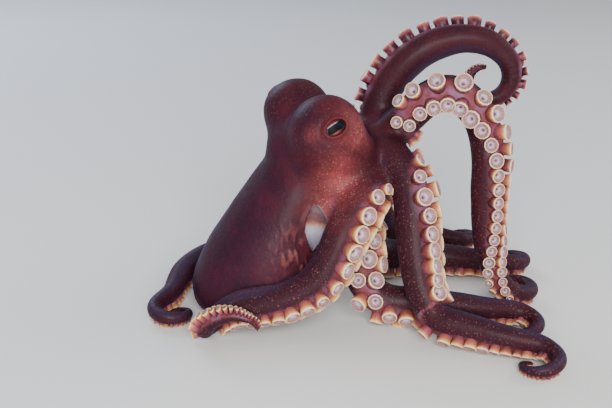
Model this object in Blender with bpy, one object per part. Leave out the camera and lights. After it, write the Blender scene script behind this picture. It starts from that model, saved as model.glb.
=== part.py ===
"""A veined (coconut) octopus sitting on its mantle, life size, with eight arms and their suckers.

Metres, +Z up. The origin is on the floor under the mantle. +X runs towards the animal's arms, and -Y is
the side of its right eye. Each sub-part is one closed solid.
"""

import math

import bmesh
import bpy
import numpy as np
from mathutils import Vector

MM = 0.001
GAP = 0.3 * MM
UP = np.array([0.0, 0.0, 1.0])

# Head and arm crown. The head is turned 27 degrees from +X, and the mouth looks forward and down.
HEAD_YAW = math.radians(27)
MOUTH_DROP = math.radians(41)
FORWARD = np.array([math.cos(HEAD_YAW), math.sin(HEAD_YAW), 0.0])
RIGHT = np.array([math.sin(HEAD_YAW), -math.cos(HEAD_YAW), 0.0])
MOUTHWARD = FORWARD * math.cos(MOUTH_DROP) - UP * math.sin(MOUTH_DROP)
CROWN_TOP = FORWARD * math.sin(MOUTH_DROP) + UP * math.cos(MOUTH_DROP)
HEAD_CENTRE = np.array([12.4, -0.8, 38.0]) * MM
HEAD_HALF = (12.0 * MM, 11.2 * MM, 10.5 * MM)
CROWN_CENTRE = np.array([23.5, 3.5, 35.0]) * MM
CROWN_HALF = (6.8 * MM, 10.0 * MM, 9.6 * MM)
CROWN_SEAM = -8.5 * MM
CROWN_SEAM_RADIUS = 17 * MM
CROWN_SEAM_DROP = math.radians(30)

# The lips: a low ring round the mouth, in the middle of the crown.
LIP_RADIUS = 2.9 * MM
LIP_ROOT = 3.0 * MM
LIP_RISE = 0.9 * MM
MOUTH_DEPTH = 1.5 * MM

# Eye bulbs with the eyeball let into each, under a lid with an oval opening along the tilted pupil.
# The opening widens outwards: LID_FLARE gives its share of full size at two distances from the centre.
BULBS = {
    "right": {"centre": (14.6, -9.0, 44.3), "radius": 7.9, "gaze": (0.21, -0.85, 0.35)},
    "left": {"centre": (7.9, 4.0, 45.7), "radius": 7.5, "gaze": (-0.66, 0.58, 0.48)},
}
EYEBALL_RADIUS = 4.0 * MM
LID_THICKNESS = 0.5 * MM
LID_RISE = 0.8 * MM
LID_OPENING = (2.5 * MM, 2.0 * MM)
LID_FLARE = ((0.0, 0.9), (EYEBALL_RADIUS + 3 * MM, 1.15))
PUPIL_TILT = math.radians(35)

# Cheeks that fill the hollow under each bulb: centre and half sizes forwards, sideways and up, in mm.
CHEEKS = (
    ((14.8, -6.6, 38.4), (7.6, 6.6, 7.4)),
    ((8.6, 5.2, 39.4), (7.4, 6.2, 7.2)),
)

# Mantle, as level slices in mm: height, centre x, centre y, half width forwards, half width sideways.
MANTLE_SLICES = (
    (-1.5, -0.8, -0.8, 11.4, 11.2),
    (0.2, -0.9, -0.9, 14.4, 14.2),
    (2.0, -0.9, -0.9, 16.2, 15.8),
    (5.0, -0.6, -0.6, 16.9, 16.4),
    (9.0, 0.0, -0.4, 16.7, 16.2),
    (14.0, 1.2, -0.4, 15.6, 15.4),
    (20.0, 3.1, -0.6, 13.8, 14.1),
    (27.0, 5.8, -0.8, 11.7, 12.4),
    (33.0, 8.5, -0.9, 10.2, 10.8),
    (37.5, 10.6, -0.9, 8.9, 9.4),
    (40.5, 11.6, -0.9, 6.6, 7.0),
    (42.0, 12.0, -0.9, 3.6, 3.8),
)
MANTLE_SIDES = 24

# The mantle's opening: a slit on each side of the neck, joined by a groove under the funnel.
SLIT_TURN = math.radians(81)
SLIT_HEIGHT = 22.8 * MM
SLIT_HALF = (4.2 * MM, 2.7 * MM, 5.7 * MM)
GROOVE_HEIGHT = 17.6 * MM
GROOVE_RADIUS = 0.7 * MM

# Funnel: its route in mm, its radius at the root and the tip, and its bore.
FUNNEL_ROUTE = ((9.5, 0.4, 27.0), (15.5, 1.0, 23.0), (19.6, 1.0, 19.4), (22.4, 1.0, 15.6), (24.2, 0.8, 11.6))
FUNNEL_RADII = (3.4 * MM, 2.0 * MM)
FUNNEL_ROOT = 12.5 * MM
FUNNEL_BORE = (1.3 * MM, 4.5 * MM)

# Arms. Each has a route of points in mm from the crown outwards, and the way its suckers face at each.
# A curl carries the route on: the axis it turns about, its first and last radius in mm, and its turns.
# Cuts are the shares of the arm's length where one node ends and the next begins.
# The ring is the angle from the crown's top at which the arm leaves it, in degrees.
# An arm that lies down is held up by its suckers, by a share of its radius. A face that points lower than
# ON_FLOOR does so, and in a curl there the suckers lean inwards by CURL_LEAN.
ARM_BASE_RADIUS = 4.4 * MM
ARM_TIP_RADIUS = 0.5 * MM
ARM_STUB = 20 * MM
ARM_SIDES = {"inner": 9, "middle": 8, "outer": 7, "tip": 6}
RING_RADIUS = 9 * MM
INSIDE_RADIUS = 4 * MM
SUCKER_STAND = 0.6
ON_FLOOR = -0.9
CURL_LEAN = 0.6
ARMS = {
    "right_1": {
        "ring": 22.5,
        "route": ((34.6, 1.2, 46.6), (39.0, 0.4, 50.6), (44.8, -0.6, 50.8), (49.6, -1.8, 45.8),
                  (51.4, -3.0, 38.0), (51.4, -4.0, 29.0), (51.6, -5.0, 20.0), (53.0, -5.6, 12.0),
                  (56.6, -5.8, 6.2), (61.0, -5.0, 3.4)),
        "faces": ((0.0, -0.8, 0.6), (0, -1, 0.3), (0, -1, 0.2), (0.2, -1, 0), (0.6, -0.8, 0),
                  (0.8, -0.6, 0), (0.7, -0.6, 0), (0.3, -0.8, -0.3), (0, -0.7, -0.7), (0, -0.2, -1)),
        "curl": ((0, 0, 1), 5.6, 2.4, 0.95),
        "cuts": (0.42, 0.68),
    },
    "right_2": {
        "ring": 67.5,
        "route": ((33.2, -8.6, 31.8), (33.9, -12.6, 24.5), (34.6, -16.2, 16.5), (36.2, -19.8, 9.5),
                  (40.0, -23.2, 4.5), (47.0, -26.4, 0.0), (54.0, -29.2, 0.0), (60.0, -31.0, 0.0)),
        "faces": ((0.75, -0.6, 0.2), (0.85, -0.5, 0), (0.85, -0.4, -0.2), (0.6, -0.5, -0.5),
                  (0.2, -0.4, -0.9), (0, -0.3, -1), (0, -0.2, -1), (0, 0, -1)),
        "curl": ((0, 0, -1), 5.5, 2.0, 1.0),
        "cuts": (0.42, 0.70),
    },
    "right_3": {
        "ring": 112.5,
        "route": ((22.4, -12.7, 29.7), (18.8, -16.8, 24.6), (16.4, -18.8, 19.6), (13.9, -20.0, 15.0),
                  (10.0, -20.6, 11.4), (5.3, -20.9, 9.2), (0.4, -20.9, 7.8), (-4.6, -20.5, 6.8),
                  (-9.2, -20.2, 4.6), (-12.0, -21.4, 2.6), (-12.4, -24.0, 3.4), (-9.8, -26.0, 6.6),
                  (-5.8, -26.9, 8.2), (-2.2, -27.1, 7.2)),
        "faces": ((0.9, -0.4, 0.1), (0.9, -0.4, 0), (0.9, -0.4, -0.2), (0.75, -0.4, -0.5),
                  (0.4, -0.45, -0.8), (0.1, -0.4, -0.9), (0, -0.35, -0.95), (-0.1, -0.3, -0.95),
                  (-0.3, -0.1, -0.95), (-0.9, 0.2, -0.4), (-0.9, 0, 0.4), (-0.6, -0.3, 0.75),
                  (0, -0.3, 0.95), (0.5, -0.3, 0.8)),
        "curl": ((0, 1, 0), 2.8, 2.0, 0.22),
        "cuts": (0.40, 0.62),
    },
    "right_4": {
        "ring": 157.5,
        "route": ((21.6, -6.2, 22.0), (22.0, -9.4, 15.5), (23.2, -11.4, 10.2), (26.6, -12.8, 6.4),
                  (32.5, -13.6, 4.6), (42.0, -14.0, 0.0), (51.0, -14.4, 0.0), (58.0, -14.0, 0.0)),
        "faces": ((0.95, -0.1, 0.1), (0.8, -0.6, 0), (0.35, -0.9, -0.2), (0.1, -0.85, -0.5),
                  (0, -0.5, -0.85), (0, -0.2, -1), (0, 0, -1), (0, 0, -1)),
        "curl": ((0, 0, -1), 5.0, 2.0, 1.0),
        "cuts": (0.40, 0.68),
    },
    "left_4": {
        "ring": -157.5,
        "route": ((19.4, 8.8, 21.5), (22.4, 11.4, 14.5), (27.0, 13.6, 8.5), (33.0, 15.0, 3.5),
                  (41.0, 15.6, 0.0), (49.0, 15.2, 0.0), (56.0, 14.4, 0.0), (62.5, 14.6, 0.0)),
        "faces": ((0.8, 0.3, 0.1), (0.7, 0.3, -0.3), (0.4, 0.3, -0.7), (0, 0.2, -1), (0, 0, -1),
                  (0, 0, -1), (0, 0, -1), (0, 0, -1)),
        "curl": ((0, 0, 1), 5.5, 2.2, 1.0),
        "cuts": (0.42, 0.70),
    },
    "left_3": {
        "ring": -112.5,
        "route": ((14.2, 16.2, 29.0), (10.2, 20.6, 21.5), (5.0, 22.8, 14.0), (-2.0, 22.6, 8.4),
                  (-9.8, 19.6, 5.0), (-16.2, 14.4, 0.0), (-19.9, 8.4, 0.0), (-21.2, 2.0, 0.0),
                  (-22.0, -4.4, 0.0), (-25.0, -9.8, 0.0)),
        "faces": ((0, 1, 0.2), (0, 1, 0), (-0.1, 0.9, -0.3), (-0.2, 0.7, -0.7), (-0.3, 0.5, -0.8),
                  (-0.3, 0.3, -0.9), (-0.3, 0.1, -0.95), (-0.3, 0, -0.95), (-0.2, 0, -1), (0, 0, -1)),
        "curl": ((0, 0, 1), 4.8, 2.0, 1.15),
        "cuts": (0.36, 0.58, 0.80),
    },
    "left_2": {
        "ring": -67.5,
        "route": ((21.0, 19.5, 37.6), (22.0, 26.5, 32.5), (25.0, 32.0, 24.5), (28.2, 34.8, 15.5),
                  (31.5, 35.6, 8.0), (37.0, 35.4, 3.0), (44.0, 34.0, 0.0), (51.0, 32.4, 0.0)),
        "faces": ((0.3, 0.8, 0.5), (0.5, 0.8, 0.3), (0.6, 0.8, 0), (0.6, 0.8, -0.2), (0.4, 0.6, -0.7),
                  (0, 0.3, -0.9), (0, 0, -1), (0, 0, -1)),
        "curl": ((0, 0, 1), 5.0, 2.0, 1.0),
        "cuts": (0.42, 0.70),
    },
    "left_1": {
        "ring": -22.5,
        "route": ((27.6, 9.8, 47.4), (30.0, 9.6, 52.0), (33.2, 9.4, 56.0), (37.6, 9.2, 59.4),
                  (42.8, 9.0, 61.4), (47.8, 8.9, 62.0), (52.6, 8.8, 60.8), (56.6, 8.6, 57.6)),
        "faces": ((-0.9, 0.3, 0.2), (-0.8, 0.4, 0.4), (-0.65, 0.5, 0.6), (-0.4, 0.55, 0.7),
                  (-0.2, 0.6, 0.75), (0, 0.6, 0.75), (0.35, 0.55, 0.7), (0.8, 0.4, 0.5)),
        "curl": ((0, 1, 0), 6.6, 2.4, 0.95),
        "cuts": (0.42, 0.66),
    },
}
LENGTH_NAMES = {3: ("inner", "middle", "tip"), 4: ("inner", "middle", "outer", "tip")}
PATH_POINTS = 240
ROUTE_PASSES = 14

# The membranes between neighbouring arms, by how far down the arms each reaches, in mm.
WEB_DEPTHS = {
    ("right_1", "right_2"): 15, ("right_2", "right_3"): 15, ("right_3", "right_4"): 13,
    ("right_4", "left_4"): 11, ("left_4", "left_3"): 14, ("left_3", "left_2"): 15.5,
    ("left_2", "left_1"): 15.5, ("left_1", "right_1"): 14,
}
WEB_THICKNESS = 1.6 * MM
WEB_HOLLOW = 0.36

# Suckers: two staggered rows on the mouth side of each arm, smaller by the mouth and towards the tip.
# The rim and the depth of the root are shares of the arm's radius there, and the rest of the rim's.
SUCKER_FIRST = 9 * MM
SUCKER_FULL = 19 * MM
SUCKER_AT_MOUTH = 0.6
SUCKER_RIM = 0.52
SUCKER_SUNK = 0.55
SUCKER_ROOT = 0.68
SUCKER_HEIGHT = 1.4
SUCKER_PIT = 1.2
SUCKER_STEP = 2.3
SUCKER_LEAST = 0.36 * MM
SUCKER_SIDES = {"inner": 6, "middle": 6, "outer": 5, "tip": 5}
ROW_SPREAD = math.radians(28)

# Fusing: the grain of the flesh, and the triangles kept for the head and the crown.
GRAIN = 0.5 * MM
SMOOTH_PASSES = 10
FRONT_TRIANGLES = 2400

# Finishes.
SKIN_COLOUR = (0.16, 0.035, 0.05)
ARM_COLOUR = (0.14, 0.04, 0.05)
EYE_COLOUR = (0.45, 0.16, 0.12)
SKIN_ROUGHNESS = 0.45
EYE_ROUGHNESS = 0.15
SHARP_ANGLE = math.radians(45)


def clear_scene():
    for obj in list(bpy.data.objects):
        bpy.data.objects.remove(obj)


def unit(vector):
    return np.asarray(vector, float) / np.linalg.norm(vector)


def material(name, colour, roughness):
    made = bpy.data.materials.new(name)
    made.use_nodes = True
    shader = made.node_tree.nodes["Principled BSDF"]
    shader.inputs["Base Color"].default_value = (*colour, 1.0)
    shader.inputs["Roughness"].default_value = roughness
    return made


def spline(points, steps=12):
    """A smooth curve (Catmull-Rom) through points of any dimension."""
    p = np.asarray(points, float)
    p = np.vstack([2 * p[0] - p[1], p, 2 * p[-1] - p[-2]])
    out = []
    for a, b, c, d in zip(p, p[1:], p[2:], p[3:]):
        for t in np.arange(steps) / steps:
            cubic = (3 * b - a - 3 * c + d) * t**3
            out.append(0.5 * (2 * b + (c - a) * t + (2 * a - 5 * b + 4 * c - d) * t * t + cubic))
    return np.array([*out, p[-2]])


def along(points):
    """Distance from the first point to each, along the line."""
    return np.concatenate([[0], np.cumsum(np.linalg.norm(np.diff(points, axis=0), axis=1))])


def resample(values, at, where):
    return np.stack([np.interp(where, at, values[:, k]) for k in range(values.shape[1])], axis=1)


def curl_points(start, heading, axis, first, last, turns, steps=16):
    """Points of a curl that leaves start along heading and turns about axis, ever tighter."""
    axis = unit(axis)
    points, inward = [], []
    here, way = np.array(start), unit(heading - axis * (heading @ axis))
    for i in range(steps):
        radius = first + (last - first) * (i / (steps - 1))
        turn = 2 * math.pi * turns / steps
        way = way * math.cos(turn) + np.cross(axis, way) * math.sin(turn)
        here = here + way * radius * turn
        points.append(here)
        inward.append(np.cross(axis, way))
    return points, inward


def transported(tangents):
    """A direction across the line that never twists about it."""
    across = [unit(np.cross(tangents[0], UP + 0.3 * RIGHT))]
    for tangent in tangents[1:]:
        across.append(unit(across[-1] - tangent * (across[-1] @ tangent)))
    return np.array(across)


def route_line(points, radii, looks):
    """What sweeps need at even steps along a route: places, radii and directions."""
    distance = along(points)
    s = np.linspace(0, distance[-1], PATH_POINTS)
    points, looks = resample(points, distance, s), resample(looks, distance, s)
    tangents = np.gradient(points, axis=0)
    tangents /= np.linalg.norm(tangents, axis=1)[:, None]
    return {"s": s, "points": points, "radii": radii(s / s[-1]), "looks": looks, "tangents": tangents,
            "across": transported(tangents)}


def arm_line(spec):
    """An arm's centre line from inside the crown to the tip, raised so that its suckers meet the floor."""
    angle = math.radians(spec["ring"])
    out = CROWN_TOP * math.cos(angle) + RIGHT * math.sin(angle)
    ring = CROWN_CENTRE + out * RING_RADIUS
    inside = CROWN_CENTRE + out * INSIDE_RADIUS
    route = [np.array(p) * MM for p in spec["route"]]
    axis, first, last, turns = spec["curl"]
    curled, inward = curl_points(route[-1], route[-1] - route[-2], axis, first * MM, last * MM, turns)
    last_face = unit(spec["faces"][-1])
    if last_face[2] < ON_FLOOR:
        curl_faces = [unit(last_face + inner * CURL_LEAN) for inner in inward]
    else:
        curl_faces = [-inner for inner in inward]
    points = spline([inside, ring, *route, *curled])
    looks = spline([MOUTHWARD, MOUTHWARD, *[unit(f) for f in spec["faces"]], *curl_faces])

    def radii(share):
        return ARM_TIP_RADIUS + (ARM_BASE_RADIUS - ARM_TIP_RADIUS) * (1 - share**2)

    line = route_line(points, radii, looks)
    raised = line["points"].copy()
    downward = np.clip(-line["looks"][:, 2], 0, 1)
    raised[:, 2] = np.maximum(raised[:, 2], line["radii"] * (1 + SUCKER_STAND * downward))
    for _ in range(ROUTE_PASSES):
        raised[1:-1] = (raised[:-2] + 2 * raised[1:-1] + raised[2:]) / 4
    return route_line(raised, radii, line["looks"])


def at(line, key, s):
    values = line[key]
    if values.ndim == 1:
        return float(np.interp(s, line["s"], values))
    return np.array([np.interp(s, line["s"], values[:, k]) for k in range(3)])


def link(obj):
    bpy.context.scene.collection.objects.link(obj)
    return obj


def finish_mesh(mesh, name):
    bmesh.ops.recalc_face_normals(mesh, faces=mesh.faces)
    if mesh.calc_volume(signed=True) < 0:
        bmesh.ops.reverse_faces(mesh, faces=mesh.faces)
    data = bpy.data.meshes.new(name)
    mesh.to_mesh(data)
    mesh.free()
    return link(bpy.data.objects.new(name, data))


def swept(name, rings, end_point=None):
    """A closed skin through rings of points, each extruded to the next. It ends flat or at a point."""
    mesh = bmesh.new()
    count = len(rings[0])
    loop = bmesh.ops.create_circle(mesh, cap_ends=True, segments=count, radius=1.0)["verts"]
    edges = [mesh.edges.get((loop[i], loop[(i + 1) % count])) for i in range(count)]
    for vertex, place in zip(loop, rings[0]):
        vertex.co = Vector(place)
    for ring in rings[1:]:
        grown = bmesh.ops.extrude_edge_only(mesh, edges=edges)["geom"]
        new = [g for g in grown if isinstance(g, bmesh.types.BMVert)]
        for vertex, place in zip(new, ring):
            vertex.co = Vector(place)
        edges = [mesh.edges.get((new[i], new[(i + 1) % count])) for i in range(count)]
    cap = bmesh.ops.contextual_create(mesh, geom=edges)["faces"]
    if end_point is not None:
        centre = bmesh.ops.poke(mesh, faces=cap)["verts"][0]
        centre.co = Vector(end_point)
    bmesh.ops.triangulate(mesh, faces=[f for f in mesh.faces if len(f.verts) > 4])
    return finish_mesh(mesh, name)


def circle(centre, across, look, radius, count):
    angles = np.arange(count) * 2 * math.pi / count
    return [centre + across * radius * math.cos(a) + look * radius * math.sin(a) for a in angles]


def ring_at(line, s, sides):
    tangent = unit(at(line, "tangents", s))
    across = unit(at(line, "across", s))
    across = unit(across - tangent * (across @ tangent))
    return circle(at(line, "points", s), across, np.cross(tangent, across), at(line, "radii", s), sides)


def ring_stops(line, start, end, longest, most_turn=0.6):
    """Where a sweep needs a ring: closer together where the line bends."""
    bends = np.linalg.norm(np.gradient(line["tangents"], line["s"], axis=0), axis=1)
    stops = [start]
    while stops[-1] < end:
        bend = float(np.interp(stops[-1] + 0.5 * MM, line["s"], bends))
        stops.append(stops[-1] + min(longest, max(0.5 * MM, most_turn / max(bend, 1.0))))
    stretch = (end - start) / (stops[-1] - start)
    return [start + (stop - start) * stretch for stop in stops]


def tube(name, line, start, end, sides, longest=3.6 * MM):
    """A closed length between two distances along a line, with flat ends."""
    return swept(name, [ring_at(line, s, sides) for s in ring_stops(line, start, end, longest)])


def ball(name, centre, axes, halves, segments=24, rings=14):
    """An ellipsoid with its half sizes along three directions."""
    mesh = bmesh.new()
    bmesh.ops.create_uvsphere(mesh, u_segments=segments, v_segments=rings, radius=1.0)
    frame = np.array(axes).T * np.array(halves)
    for vertex in mesh.verts:
        vertex.co = Vector(centre + frame @ np.array(vertex.co))
    return finish_mesh(mesh, name)


def disc(name, centre, axis, radius, start, end, segments=24):
    """A round block along an axis, from one distance to another from its centre."""
    axis = unit(axis)
    across = unit(np.cross(axis, UP + 0.2 * RIGHT))
    other = np.cross(axis, across)
    return swept(name, [circle(centre + axis * d, across, other, radius, segments) for d in (start, end)])


def apply_modifiers(obj):
    bpy.context.view_layer.update()
    graph = bpy.context.evaluated_depsgraph_get()
    mesh = bpy.data.meshes.new_from_object(obj.evaluated_get(graph))
    obj.modifiers.clear()
    obj.data = mesh


def islands(obj):
    """The separate closed surfaces of an object as meshes, the largest first."""
    mesh = bmesh.new()
    mesh.from_mesh(obj.data)
    left, found = set(mesh.faces), []
    while left:
        stack, island = [left.pop()], []
        while stack:
            face = stack.pop()
            island.append(face)
            for edge in face.edges:
                for other in edge.link_faces:
                    if other in left:
                        left.remove(other)
                        stack.append(other)
        found.append((sum(face.calc_area() for face in island), {face.index for face in island}))
    mesh.free()
    pieces = []
    for _, keep in sorted(found, key=lambda item: -item[0]):
        piece = bmesh.new()
        piece.from_mesh(obj.data)
        bmesh.ops.delete(piece, geom=[f for f in piece.faces if f.index not in keep], context="FACES")
        data = bpy.data.meshes.new(obj.name)
        piece.to_mesh(data)
        piece.free()
        pieces.append(data)
    return pieces


def apply_boolean(obj, operation, operands):
    """One applied Boolean with a list of objects, which are then removed.

    The solver is MANIFOLD, because EXACT left an open edge where a sucker grazes an arm's facets.
    """
    group = bpy.data.collections.new("operands")
    bpy.context.scene.collection.children.link(group)
    for operand in operands:
        bpy.context.scene.collection.objects.unlink(operand)
        group.objects.link(operand)
    modifier = obj.modifiers.new(operation.lower(), "BOOLEAN")
    modifier.operation = operation
    modifier.solver = "MANIFOLD"
    modifier.operand_type = "COLLECTION"
    modifier.collection = group
    apply_modifiers(obj)
    for operand in operands:
        bpy.data.objects.remove(operand)
    bpy.data.collections.remove(group)


def boolean(obj, operation, operands):
    """An applied Boolean that keeps only the largest closed surface."""
    apply_boolean(obj, operation, operands)
    obj.data = islands(obj)[0]
    return obj


def cut_at_floor(obj):
    """Flattens whatever reaches below the floor."""
    if min(vertex.co.z for vertex in obj.data.vertices) < 0:
        boolean(obj, "DIFFERENCE", [disc("floor", np.zeros(3), -UP, 200 * MM, 0, 20 * MM)])
    return obj


def rim_radius(line, s):
    """A sucker's radius, smaller by the mouth and shrinking with the arm towards its tip."""
    grown = SUCKER_AT_MOUTH + (1 - SUCKER_AT_MOUTH) * min(1, (s - SUCKER_FIRST) / (SUCKER_FULL - SUCKER_FIRST))
    return max(SUCKER_RIM * at(line, "radii", s) * grown, SUCKER_LEAST)


def sucker_stops(line):
    """Distances along an arm of its suckers, which close up towards the tip."""
    stops, s = [], SUCKER_FIRST
    while s < line["s"][-1] - SUCKER_LEAST * 2:
        stops.append(s)
        s += SUCKER_STEP * rim_radius(line, s)
    return stops


def cup(root, axis, across, radii, height, pit, sides):
    """A stalk that flares from its root to a rim, with a hollow in its end."""
    other = np.cross(axis, across)
    rings = [circle(root + axis * d, across, other, radius, sides) for d, radius in zip((0, height), radii)]
    return swept("cup", rings, root + axis * (height - pit))


def sucker(line, s, row, sides):
    """One sucker, its stalk sunk in the arm, leaning out to its row's side."""
    tangent = unit(at(line, "tangents", s))
    look = at(line, "looks", s)
    look = unit(look - tangent * (look @ tangent))
    axis = look * math.cos(ROW_SPREAD) + np.cross(tangent, look) * math.sin(ROW_SPREAD) * row
    radius, rim = at(line, "radii", s), rim_radius(line, s)
    root = at(line, "points", s) + axis * radius * (1 - SUCKER_SUNK)
    height = radius * SUCKER_SUNK + rim * SUCKER_HEIGHT
    return cup(root, axis, np.cross(axis, tangent), (rim * SUCKER_ROOT, rim), height, rim * SUCKER_PIT, sides)


def cut_stops(line, suckers, wishes):
    """The gaps between suckers that lie nearest the wished distances."""
    middles = [(a + b) / 2 for a, b in zip(suckers, suckers[1:])]
    return [min(middles, key=lambda middle: abs(middle - wish)) for wish in wishes]


def mantle_rings(grow=0.0):
    """The mantle's level rings, grown outwards, and upwards at the top, by a clearance."""
    slices = spline(MANTLE_SLICES, 2) * MM
    rings = []
    for z, x, y, half_x, half_y in slices:
        centre = np.array([x, y, z * (1 + grow / slices[-1, 0])])
        rings.append([centre + FORWARD * (half_x + grow) * math.cos(a) - RIGHT * (half_y + grow) * math.sin(a)
                      for a in np.arange(MANTLE_SIDES) * 2 * math.pi / MANTLE_SIDES])
    return rings


def mantle_surface(height, turn):
    """A point on the mantle at a height, and the way out there, by the angle from straight forward."""
    slices = spline(MANTLE_SLICES, 4) * MM
    x, y, half_x, half_y = (float(np.interp(height, slices[:, 0], slices[:, k])) for k in range(1, 5))
    out = FORWARD * math.cos(turn) + RIGHT * math.sin(turn)
    return np.array([x, y, height]) + out * (half_x + half_y) / 2, out


def mantle(funnel):
    body = swept("mantle", mantle_rings())
    boolean(body, "UNION", [tube("funnel_root", funnel, 2 * MM, FUNNEL_ROOT, 12)])
    cutters = []
    for turn in (SLIT_TURN, -SLIT_TURN):
        centre, out = mantle_surface(SLIT_HEIGHT, turn)
        cutters.append(ball("slit", centre, (out, np.cross(UP, out), UP), SLIT_HALF, 12, 8))
    turns = np.linspace(-SLIT_TURN, SLIT_TURN, 15)
    groove = []
    for turn in turns:
        centre, out = mantle_surface(GROOVE_HEIGHT, turn)
        groove.append(circle(centre, out, UP, GROOVE_RADIUS, 6))
    cutters.append(swept("groove", groove))
    boolean(body, "DIFFERENCE", cutters)
    return cut_at_floor(body)


def funnel_line():
    def radii(share):
        return FUNNEL_RADII[0] + (FUNNEL_RADII[1] - FUNNEL_RADII[0]) * share

    points = spline(FUNNEL_ROUTE) * MM
    return route_line(points, radii, np.tile(UP, (len(points), 1)))


def funnel_tube(line):
    end = line["s"][-1]
    body = tube("funnel", line, FUNNEL_ROOT + GAP, end, 12)
    radius, depth = FUNNEL_BORE
    bore = disc("bore", at(line, "points", end), at(line, "tangents", end), radius, -depth, 2 * MM, 10)
    return boolean(body, "DIFFERENCE", [bore])


def web(name, first, second, depth):
    """The membrane between two arms, hollowed at its free edge, as a thick sheet."""
    mesh = bmesh.new()
    bmesh.ops.create_grid(mesh, x_segments=10, y_segments=10, size=1.0)
    for vertex in mesh.verts:
        u, t = (vertex.co.x + 1) / 2, (vertex.co.y + 1) / 2
        s = depth * u * (1 - WEB_HOLLOW * math.sin(math.pi * t))
        vertex.co = Vector(at(first, "points", s) * (1 - t) + at(second, "points", s) * t)
    obj = finish_mesh(mesh, name)
    solid = obj.modifiers.new("thick", "SOLIDIFY")
    solid.thickness = WEB_THICKNESS
    solid.offset = 0.0
    apply_modifiers(obj)
    return obj


def fused(name, forms, triangles):
    """One smooth closed skin round overlapping forms, thinned to about so many triangles."""
    mesh = bmesh.new()
    for form in forms:
        mesh.from_mesh(form.data)
        bpy.data.objects.remove(form)
    data = bpy.data.meshes.new(name)
    mesh.to_mesh(data)
    mesh.free()
    obj = link(bpy.data.objects.new(name, data))
    remesh = obj.modifiers.new("fuse", "REMESH")
    remesh.mode = "VOXEL"
    remesh.voxel_size = GRAIN
    smooth = obj.modifiers.new("smooth", "SMOOTH")
    smooth.factor = 0.5
    smooth.iterations = SMOOTH_PASSES
    apply_modifiers(obj)
    obj.data = islands(obj)[0]
    thin = obj.modifiers.new("thin", "DECIMATE")
    thin.ratio = triangles / (2 * len(obj.data.polygons))
    apply_modifiers(obj)
    return obj


def bulb_place(eye):
    bulb = BULBS[eye]
    gaze = unit(bulb["gaze"])
    centre = np.array(bulb["centre"]) * MM
    outer = EYEBALL_RADIUS + GAP + LID_THICKNESS
    return centre, gaze, centre + gaze * (bulb["radius"] * MM + LID_RISE - outer)


def front_body(lines, stubs):
    """Head, eye bulbs, crown, arm roots and webs in one, over the top of the mantle."""
    forms = [
        ball("head_form", HEAD_CENTRE, (FORWARD, RIGHT, UP), HEAD_HALF),
        ball("crown_form", CROWN_CENTRE, (MOUTHWARD, RIGHT, CROWN_TOP), CROWN_HALF),
    ]
    for centre, halves in CHEEKS:
        forms.append(ball("cheek", np.array(centre) * MM, (FORWARD, RIGHT, UP), np.array(halves) * MM))
    for eye, bulb in BULBS.items():
        centre, _, ball_centre = bulb_place(eye)
        forms.append(ball("bulb", centre, (FORWARD, RIGHT, UP), [bulb["radius"] * MM] * 3))
        lid = EYEBALL_RADIUS + GAP + LID_THICKNESS
        forms.append(ball("lid", ball_centre, (FORWARD, RIGHT, UP), [lid] * 3))
    for arm, line in lines.items():
        forms.append(tube("root", line, 0.0, stubs[arm] + 4 * MM, 14, 1.6 * MM))
    for (first, second), depth in WEB_DEPTHS.items():
        forms.append(web("web", lines[first], lines[second], depth * MM))
    return fused("front", forms, FRONT_TRIANGLES)


def split_front(front, funnel):
    """Parts the front body into the head and the arm crown with one thin cut."""
    room = {**funnel, "radii": funnel["radii"] + GAP}
    boolean(front, "DIFFERENCE", [tube("funnel_room", room, 2 * MM, FUNNEL_ROOT + 4 * MM, 12)])
    boolean(front, "DIFFERENCE", [swept("mantle_room", mantle_rings(GAP))])
    seam = FORWARD * math.cos(CROWN_SEAM_DROP) - UP * math.sin(CROWN_SEAM_DROP)
    centre = CROWN_CENTRE + seam * CROWN_SEAM
    cut = disc("seam", centre, seam, CROWN_SEAM_RADIUS, -GAP / 2, GAP / 2, 32)
    apply_boolean(front, "DIFFERENCE", [cut])
    pieces = islands(front)
    bpy.data.objects.remove(front)

    def ahead(piece):
        return sum(np.array(vertex.co) @ seam for vertex in piece.vertices) / len(piece.vertices)

    back, fore = sorted(pieces[:2], key=ahead)
    return link(bpy.data.objects.new("head", back)), link(bpy.data.objects.new("arm_crown", fore))


def open_eyes(head):
    """Sockets with a gap round each eyeball, seen through an oval opening in the lids."""
    cutters = []
    for eye in BULBS:
        _, gaze, centre = bulb_place(eye)
        level = unit(np.cross(UP, gaze))
        rise = np.cross(gaze, level)
        long_axis = level * math.cos(PUPIL_TILT) + rise * math.sin(PUPIL_TILT)
        short_axis = np.cross(gaze, long_axis)
        cutters.append(ball("socket", centre, (level, gaze, rise), [EYEBALL_RADIUS + GAP] * 3, 14, 8))
        long_half, short_half = LID_OPENING
        rings = []
        for far, flare in LID_FLARE:
            angles = np.arange(14) * 2 * math.pi / 14
            rings.append([centre + gaze * far + long_axis * long_half * flare * math.cos(a)
                          + short_axis * short_half * flare * math.sin(a) for a in angles])
        cutters.append(swept("opening", rings))
    return boolean(head, "DIFFERENCE", cutters)


def eyeball(eye):
    _, gaze, centre = bulb_place(eye)
    level = unit(np.cross(UP, gaze))
    return ball("eye_" + eye, centre, (level, np.cross(gaze, level), gaze), [EYEBALL_RADIUS] * 3, 14, 8)


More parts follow.
